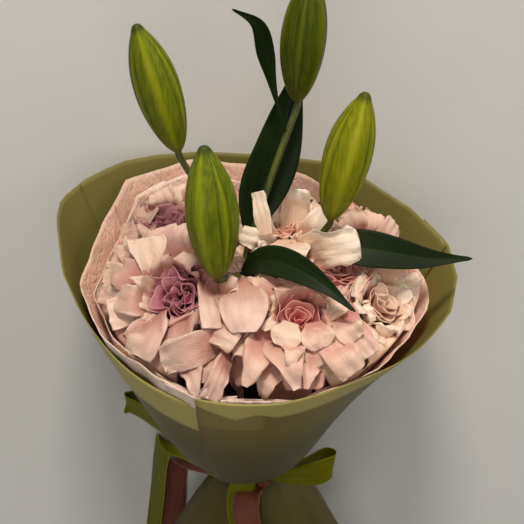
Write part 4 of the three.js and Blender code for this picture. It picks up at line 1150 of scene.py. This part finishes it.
PETAL_COLOURS = {
    # root (its own deeper colour, and painted shade deep in the bloom), middle, edge, and the middle of paler
    # and of duskier petals
    "blush": ((150, 80, 68), (196, 142, 126), (238, 206, 188), (234, 204, 180), (176, 108, 104)),
    "pink": ((170, 84, 76), (204, 146, 128), (241, 208, 186), (240, 214, 186), (188, 112, 108)),
    "cream": ((230, 160, 124), (240, 202, 172), (244, 226, 206), (240, 222, 198), (230, 178, 152)),
}
# The middle petals' dark roots are partly their own colour and partly painted shade deep in the cup.
HEART_COLOURS = {
    "mauve": ((92, 18, 42), (180, 98, 118), (230, 176, 176), (212, 142, 150), (146, 62, 88)),
    "pink": ((170, 60, 68), (222, 128, 130), (244, 186, 172), (236, 160, 156), (204, 98, 110)),
    "blush": ((176, 84, 80), (214, 136, 130), (230, 182, 168), (224, 164, 150), (198, 108, 108)),
    "cream": ((222, 130, 110), (238, 180, 158), (242, 210, 190), (240, 198, 176), (230, 152, 132)),
    "ruffled": ((206, 138, 112), (228, 182, 156), (236, 212, 190), (234, 204, 176), (212, 154, 134)),
}
OUTER_PALING = 0.85  # how much paler the edges of the outer petals are
petal_finishes = {kind: petal_finish("petal_" + kind, *own, OUTER_PALING)
                  for kind, own in PETAL_COLOURS.items()}
heart_finishes = {kind: petal_finish("heart_" + kind, *own) for kind, own in HEART_COLOURS.items()}
# The colours of the outer petals, by the kind of the bloom
PETALS_LIKE = {"mauve": "blush", "pink": "pink", "cream": "cream", "blush": "pink", "ruffled": "cream"}
HEART_SLOTS = {"mauve": "rose_heart_mauve", "pink": "rose_heart_pink", "cream": "rose_heart_cream",
               "blush": "rose_heart_pink", "ruffled": "rose_heart_cream"}

STALK_ROOM = 1.2
BUD_CORE = 0.8  # the share of a bud's radius that petals keep out of
LEAF_GAP = 3  # how far under a leaf the petals are pressed
LEAF_DEPTH = 14  # petals that are further under a leaf than this stay as they are
bud_bases = [base for base, _, _ in BUDS.values()]
stalk_paths = [main_line] + [curve([*stalk, base], 12) for stalk, base in zip(STALK_LINES, bud_bases)]

# Balls along the two leaves over the blooms, which the petals keep out of
leaf_balls = []
for line, half_width, up in LILY_LEAVES[:2]:
    grid = leaf_points(line, half_width, up, rows=14, columns=5)
    reach = np.linalg.norm(grid[:, 4] - grid[:, 2], axis=1)
    leaf_balls.append((grid.reshape(-1, 3), np.repeat(0.45 * reach, 5) + 1.5, unit(up)))


def below_leaves(points):
    """Presses petals under the leaves that lie over them."""
    for places, radii, up in leaf_balls:
        flat = points.reshape(-1, 3)
        gap = flat[:, None] - places[None]
        height = gap @ up
        off = np.linalg.norm(gap - height[..., None] * up, axis=-1)
        covers = np.clip(1 - (off / radii) ** 2, 0, 1)
        press = np.where(height > -LEAF_DEPTH, (height + LEAF_GAP) * smoothstep(covers, 0, 0.35), 0)
        flat = flat - np.maximum(0, press.max(axis=1))[:, None] * up
        points = flat.reshape(points.shape)
    return points


CRUMPLE = 1.1
CRUMPLE_SIZE = 24


def crumpled(points, up, seed):
    """Small uneven hollows and bumps that stay where petals press on each other."""
    return moved(points, CRUMPLE * ripples(points, CRUMPLE_SIZE, seed), up)


def clear_of_lily(points, over_leaves=False):
    """Moves points out of the stalks and the buds, and under the leaves where they don't lie over them."""
    if not over_leaves:
        points = below_leaves(points)
    for path in stalk_paths:
        points = clear_of_line(points, path, PEDICEL + STALK_ROOM)
    for base, tip, radius in BUDS.values():
        points = clear_of_line(points, curve([base, tip], 3), radius * BUD_CORE)
    return points


REACH = 60  # how far out a petal would lie if it had the room
PETAL_SEED, STEM_SEED = 100, 300
UNEVEN_TURN = 0.12  # how far a petal is turned out of its even place, as a share of the step to the next


def layer_petal(n, number, layer, k, rng):
    """Petal k of a layer of bloom n, in its place, with its own coordinates across and along it."""
    turn, foot = axes[n]
    rose = ROSES[n]
    step = k + 0.5 * number + rng.uniform(-UNEVEN_TURN, UNEVEN_TURN)
    angle = 2 * math.pi * step / layer["petals"]
    share = free_share(n, flat_way(angle) @ turn, REACH)
    petal = any_petal(layer, share, rng)
    petal["root"] = (petal["root"][0] + HEART_RADIUS * (rose["heart"] - 1), petal["root"][1])
    grid, u, v = petal_points(petal, share, rng)
    grid = held_back(foot + rose["size"] * turned(grid, angle) @ turn, n)
    return clear_of_lily(crumpled(grid, turn[2], 40 * n + k)), u, v


def outer_petals(n, rng):
    """The loose petals of bloom n: its layers, and then the single ones that follow the photograph."""
    shape = Shape()
    for number, layer in enumerate(PETAL_LAYERS):
        for k in range(layer["petals"]):
            grid, u, v = layer_petal(n, number, layer, k, rng)
            shape.add(grid, tone=rng.uniform(0, 1), across=u, along=v)
    for single in SINGLE_PETALS.get(n, []):
        grid, u, v = single_petal(*single, rng)
        grid = clear_of_lily(grid, over_leaves=single[3] == "cover")
        shape.add(grid, tone=rng.uniform(0.2, 0.85), across=u, along=v)
    return shape


def middle_petals(n, rng):
    """The petals in the middle of bloom n, each turned on from the one before."""
    turn, foot = axes[n]
    heart = HEARTS[ROSES[n]["kind"]]
    shape = Shape()
    for i in range(heart["petals"]):
        grid, v = heart_points(i, heart, ROSES[n]["heart"], rng)
        grid = foot + turned(grid, HEART_STEP * i + rng.uniform(-0.2, 0.2)) @ turn
        shape.add(grid, tone=rng.uniform(0, 1), along=v)
    return shape


for n, rose in enumerate(ROSES):
    rng = np.random.default_rng(PETAL_SEED + n)
    name, kind = "rose_%d" % (n + 1), rose["kind"]
    finish = petal_finishes[PETALS_LIKE[kind]]
    outer_petals(n, rng).build(name + "_outer", finish, name + "_petals", "rose_petal", PETAL_THICKNESS)
    heart, slot = middle_petals(n, rng), HEART_SLOTS[kind]
    heart.build(name + "_middle", heart_finishes[kind], name + "_heart", slot, HEART_THICKNESS)


# Rose stems

STEM_RING = 8.9
ROSE_STEM = 2.9
STEM_SAG = 12
STEM_FAN = 26
STEM_TWIST = 0.35
STEM_ROWS = 70
UNDER_BLOOM = 16  # how far below the bloom's foot a stem starts to bend
TIE_RUN = 26  # how far under the bowl the stems stay close together, and above its foot they draw in
HIP = [(14, 2.8), (12, 4), (9, 6), (6, 7), (3, 6.8), (0, 6)]  # depth below the bloom's foot, and radius
GATHERED_OUT = 5  # how much wider the stems stand at the bowl's foot than in the tie
END_ROOM = 9  # how far above the table the cut ends lie
SEPALS, SEPAL_LENGTH, SEPAL_HALF = 5, 16, 3.6
THORNS = (0.3, 0.42, 0.55)  # places down the stem, as shares
THORN_RADII = (2.2, 1.1, 0.15)


def sepal_points(foot, up, away):
    """A small leaf under the bloom that bends down and narrows to its tip."""
    t = column(0, 1, 10)[..., None]
    u = row(-1, 1, 5)[..., None]
    middle = foot + (4 + SEPAL_LENGTH * t) * away - (2 + 12 * t ** 2) * up
    return middle + u * SEPAL_HALF * (1 - t ** 1.5) * np.cross(up, away) + 0.12 * u ** 2 * 6 * up


def rose_stem(foot, up, neck_angle, rng):
    """A stem from its bloom through its place in the tie to its cut end, with hip, sepals and thorns."""
    out = flat_way(neck_angle)
    below = foot - UNDER_BLOOM * up
    tied = STEM_RING * out
    gather = (STEM_RING + GATHERED_OUT) * out + [0, 0, TIE_RUN]
    sag = np.array([0, 0, STEM_SAG])
    way = [mixed(below, gather, s) - sag * math.sin(math.pi * s) for s in (0.35, 0.7)]
    end = STEM_FAN * flat_way(neck_angle + STEM_TWIST) + [0, 0, STEM_END]
    end = on_table(end, ROSE_STEM + END_ROOM)
    line = curve([foot, below, *way, gather, tied, tied - [0, 0, TIE_RUN], end], STEM_ROWS)
    uneven = 1 + 0.06 * np.sin(np.linspace(0, 30, STEM_ROWS))
    shape = Shape()
    shape.add_rod(line, ROSE_STEM * uneven, 12)
    depths, radii = zip(*HIP)
    shape.add_rod([foot - depth * up for depth in depths], radii, 14)
    side = unit(np.cross(up, [0.2, 1, 0.3]))
    for k in range(SEPALS):
        away = around(2 * math.pi * k / SEPALS + rng.uniform(-0.2, 0.2), side, np.cross(up, side))
        shape.add(sepal_points(foot, up, away))
    for share in THORNS:
        at = line[int(share * (STEM_ROWS - 1))]
        way = unit(rng.normal(size=3))
        shape.add_rod([at, at + 3.2 * way, at + 5.2 * way - [0, 0, 1]], THORN_RADII, 6)
    return shape


angles = [math.atan2(top[1], top[0]) for top in tops]
by_angle = sorted(range(len(ROSES)), key=lambda n: angles[n])
rose_stalk = stalk_finish("rose_stalk", (62, 72, 34), (98, 104, 54))
for k, n in enumerate(by_angle):
    turn, foot = axes[n]
    neck_angle = angles[by_angle[0]] + 2 * math.pi * k / len(ROSES)
    name = "rose_%d_stem" % (n + 1)
    shape = rose_stem(foot, turn[2], neck_angle, np.random.default_rng(STEM_SEED + n))
    shape.build(name + "_smooth", rose_stalk, name, "rose_stem")


# Ribbons and binding

RIBBON_WIDTH = 24
RIBBON_THICKNESS = 0.35
GATHER = 0.4  # how wide a strip is at the knot, as a share
GATHER_SPREAD = 1.7  # how soon it opens out
# Each strip: its midline, and the way that its width lies at each point
GREEN_LOOPS = [
    ([(-3, -32, -20), (-38, -28, -11), (-74, -6, 0), (-108, 22, 4), (-125, 34, 5), (-109, 44, -2),
      (-72, 22, -19), (-38, -14, -26), (-3, -28, -22)],
     [(0, 0, 1), (0, 0, 1), (0, -0.1, 1), (0.1, -0.2, 1), (0.1, -0.2, 1), (0.1, 0, 1),
      (0, 0, 1), (0, 0, 1), (0, 0, 1)]),
    ([(3, -32, -20), (28, -46, -12), (54, -50, -3), (70, -42, 0), (64, -30, -6), (40, -27, -17),
      (3, -28, -22)],
     [(0, 0, 1), (0, 0.3, 1), (0, 0.4, 1), (0.2, 0.3, 1), (0.2, 0.2, 1), (0, 0, 1), (0, 0, 1)]),
]
GREEN_TAILS = [
    ([(-3, -30, -22), (-30, -25, -29), (-56, -4, -29), (-76, 22, -40), (-90, 46, -60), (-97, 54, -94),
      (-102, 52, -140), (-109, 47, -194)],
     [(0, 0, 1), (0, 0, 1), (0.2, -0.1, 0.9), (0.4, -0.4, 0.6), (0.6, -0.6, 0.3), (0.6, -0.8, 0),
      (0.6, -0.8, 0), (0.6, -0.8, 0)]),
    ([(-4, -31, -24), (-14, -36, -40), (-16, -45, -60), (-9, -57, -96), (-3, -67.5, -140)],
     [(0.9, 0, 0.3), (1, 0, 0.2), (1, -0.2, 0), (1, -0.1, 0), (1, 0, 0)]),
]
PINK_TAILS = [
    ([(4, -28, -40), (-10, -28, -42), (-24, -17, -42), (-44, 2, -46), (-66, 30, -66), (-80, 60, -100),
      (-84, 66, -128), (-86, 62, -160), (-90, 56, -200)],
     [(0, 0, 1), (0, 0, 1), (0, 0, 1), (0.2, 0, 1), (0.6, 0, 0.6), (1, 0, 0.2),
      (1, 0, 0.1), (1, 0, 0), (1, 0, 0)]),
    ([(2, -33, -40), (-9, -46, -44), (-8, -60, -62), (1, -72, -108), (11, -80, -170)],
     [(0.9, 0, 0.3), (1, 0, 0.1), (1, 0.1, 0), (1, 0.1, 0), (1, 0.1, 0)]),
]


def ribbon_points(line, sides, room, rows=90, columns=9):
    """A strip of ribbon, gathered where it comes out of the knot."""
    t = np.linspace(0, 1, rows)
    middle = curve(line, rows)
    along = unit(np.gradient(middle, axis=0))
    side = curve(sides, rows)
    side = unit(side - np.sum(side * along, axis=1)[:, None] * along)
    normal = np.cross(along, side)
    is_loop = np.linalg.norm(np.array(line[0]) - np.array(line[-1])) < RIBBON_WIDTH
    from_knot = np.minimum(t, 1 - t) if is_loop else t
    spread = GATHER_SPREAD * (1 if is_loop else 2)
    half = (RIBBON_WIDTH / 2 * np.minimum(1, GATHER + spread * from_knot))[:, None]
    u = row(1, -1, columns)
    pinch = (RIBBON_WIDTH / 2 - half) * 0.35 * np.cos(3 * math.pi * u)
    grid = middle[:, None] + (half * u)[..., None] * side[:, None]
    return on_table(moved(grid, pinch + 0.5 * (1 - u ** 2), normal[:, None]), room)


def knot_points(at, radii, seed):
    """A rounded lump with folds over it."""
    a = ring_angles(40)[None, :]
    b = column(-math.pi / 2 + 0.05, math.pi / 2 - 0.05, 24)
    ball = np.stack([np.cos(b) * np.cos(a), np.cos(b) * np.sin(a), np.sin(b) + 0 * a], axis=-1)
    folds = 1 + 0.06 * np.sin(9 * a + 2 * b) + 0.05 * ripples(ball, 1.2, seed)
    return np.array(at) + ball * folds[..., None] * np.array(radii)


def band_points(inner, bottom, top):
    """The turn of ribbon round the neck of the wrap, a little uneven."""
    a = ring_angles(96)[None, :]
    z = column(bottom, top, 9)
    r = inner + 0.6 + 0.35 * np.sin(5 * a + 4 * z / (top - bottom))
    return polar(r, a, z)


def ribbon(name, node, material, slot, strips, band, knot, room, seed):
    """A ribbon of strips and a band round the neck, with its knot as a piece of its own."""
    shape = Shape()
    for line, sides in strips:
        shape.add(ribbon_points(line, sides, room))
    shape.add(band_points(*band), closed=True)
    made = shape.build(name, material, node, slot, RIBBON_THICKNESS)
    tie = Shape()
    tie.add(knot_points(*knot, seed), closed=True, capped=True)
    lump = tie.build(name + "_knot", material, node, slot)


BAND_RADIUS = 24.4
# The ribbons' colours are partly painted shade: both are set darker, as their tails lie in shade.
green_satin = satin_finish("green_satin", (84, 84, 0), (122, 122, 0), (190, 190, 18))
pink_satin = satin_finish("pink_satin", (98, 52, 40), (132, 78, 62), (172, 120, 102))
ribbon("green_bow", "ribbon_green", green_satin, "green_ribbon", GREEN_LOOPS + GREEN_TAILS,
       band=(BAND_RADIUS, -31, -11), knot=((0, -30, -20), (10, 5.6, 10.6)), room=1.2, seed=5)
ribbon("pink_ties", "ribbon_pink", pink_satin, "pink_ribbon", PINK_TAILS,
       band=(BAND_RADIUS, -46, -35), knot=((4, -28, -41), (7, 5, 5)), room=2.6, seed=6)

TWINE, TWINE_TURNS = 1.45, 5
TWINE_RADIUS, TWINE_BOTTOM, TWINE_TOP = 13.9, -20.4, -7.6

turns = np.linspace(0, 2 * math.pi * TWINE_TURNS, 260)
rise = mixed(TWINE_BOTTOM, TWINE_TOP, turns / turns[-1])
twine = Shape()
twine.add_rod(polar(TWINE_RADIUS, turns, rise), TWINE, 10)
twine.build("binding_twine", twine_finish(), "binding_cord", "binding_cord")


# Floor and light

FLOOR_HALF = 4.0
LIT_PLACE = Vector((0, -0.1, 0.1))
WORLD_COLOUR, WORLD_STRENGTH = (1.0, 0.97, 0.92, 1), 0.16
LIGHTS = {
    # place, power, size and colour
    "key": ((0.085, -2.97, 1.22), 76, 0.68, (1.0, 0.95, 0.87)),
    "fill": ((0.2, -0.4, 1.7), 6, 1.2, (1.0, 0.96, 0.9)),
    "back": ((0.9, 2.0, 1.5), 5, 1.4, (1.0, 0.97, 0.93)),
    "side": ((-1.9, -1.2, 1.0), 12, 1.0, (1.0, 0.97, 0.93)),
}

floor_mesh = bpy.data.meshes.new("floor")
corners = [(FLOOR_HALF * x, FLOOR_HALF * y, 0) for x, y in ((-1, -1), (1, -1), (1, 1), (-1, 1))]
floor_mesh.from_pydata(corners, [], [(0, 1, 2, 3)])
floor = bpy.data.objects.new("floor", floor_mesh)
bpy.context.scene.collection.objects.link(floor)
f = Finish("floor_paper")
floor_mesh.materials.append(f.surface(f.mix(f.noise(3), (212, 211, 208), (220, 219, 216)), 0.9))

world = bpy.data.worlds.new("studio")
world.use_nodes = True
background = world.node_tree.nodes["Background"]
background.inputs["Color"].default_value = WORLD_COLOUR
background.inputs["Strength"].default_value = WORLD_STRENGTH
bpy.context.scene.world = world

for name, (place, power, size, colour) in LIGHTS.items():
    light = bpy.data.lights.new(name, "AREA")
    light.energy = power
    light.size = size
    light.color = colour
    lamp = bpy.data.objects.new(name, light)
    lamp.location = place
    lamp.rotation_euler = (LIT_PLACE - Vector(place)).to_track_quat("-Z", "Y").to_euler()
    bpy.context.scene.collection.objects.link(lamp)
bpy.context.scene.view_settings.view_transform = "Standard"
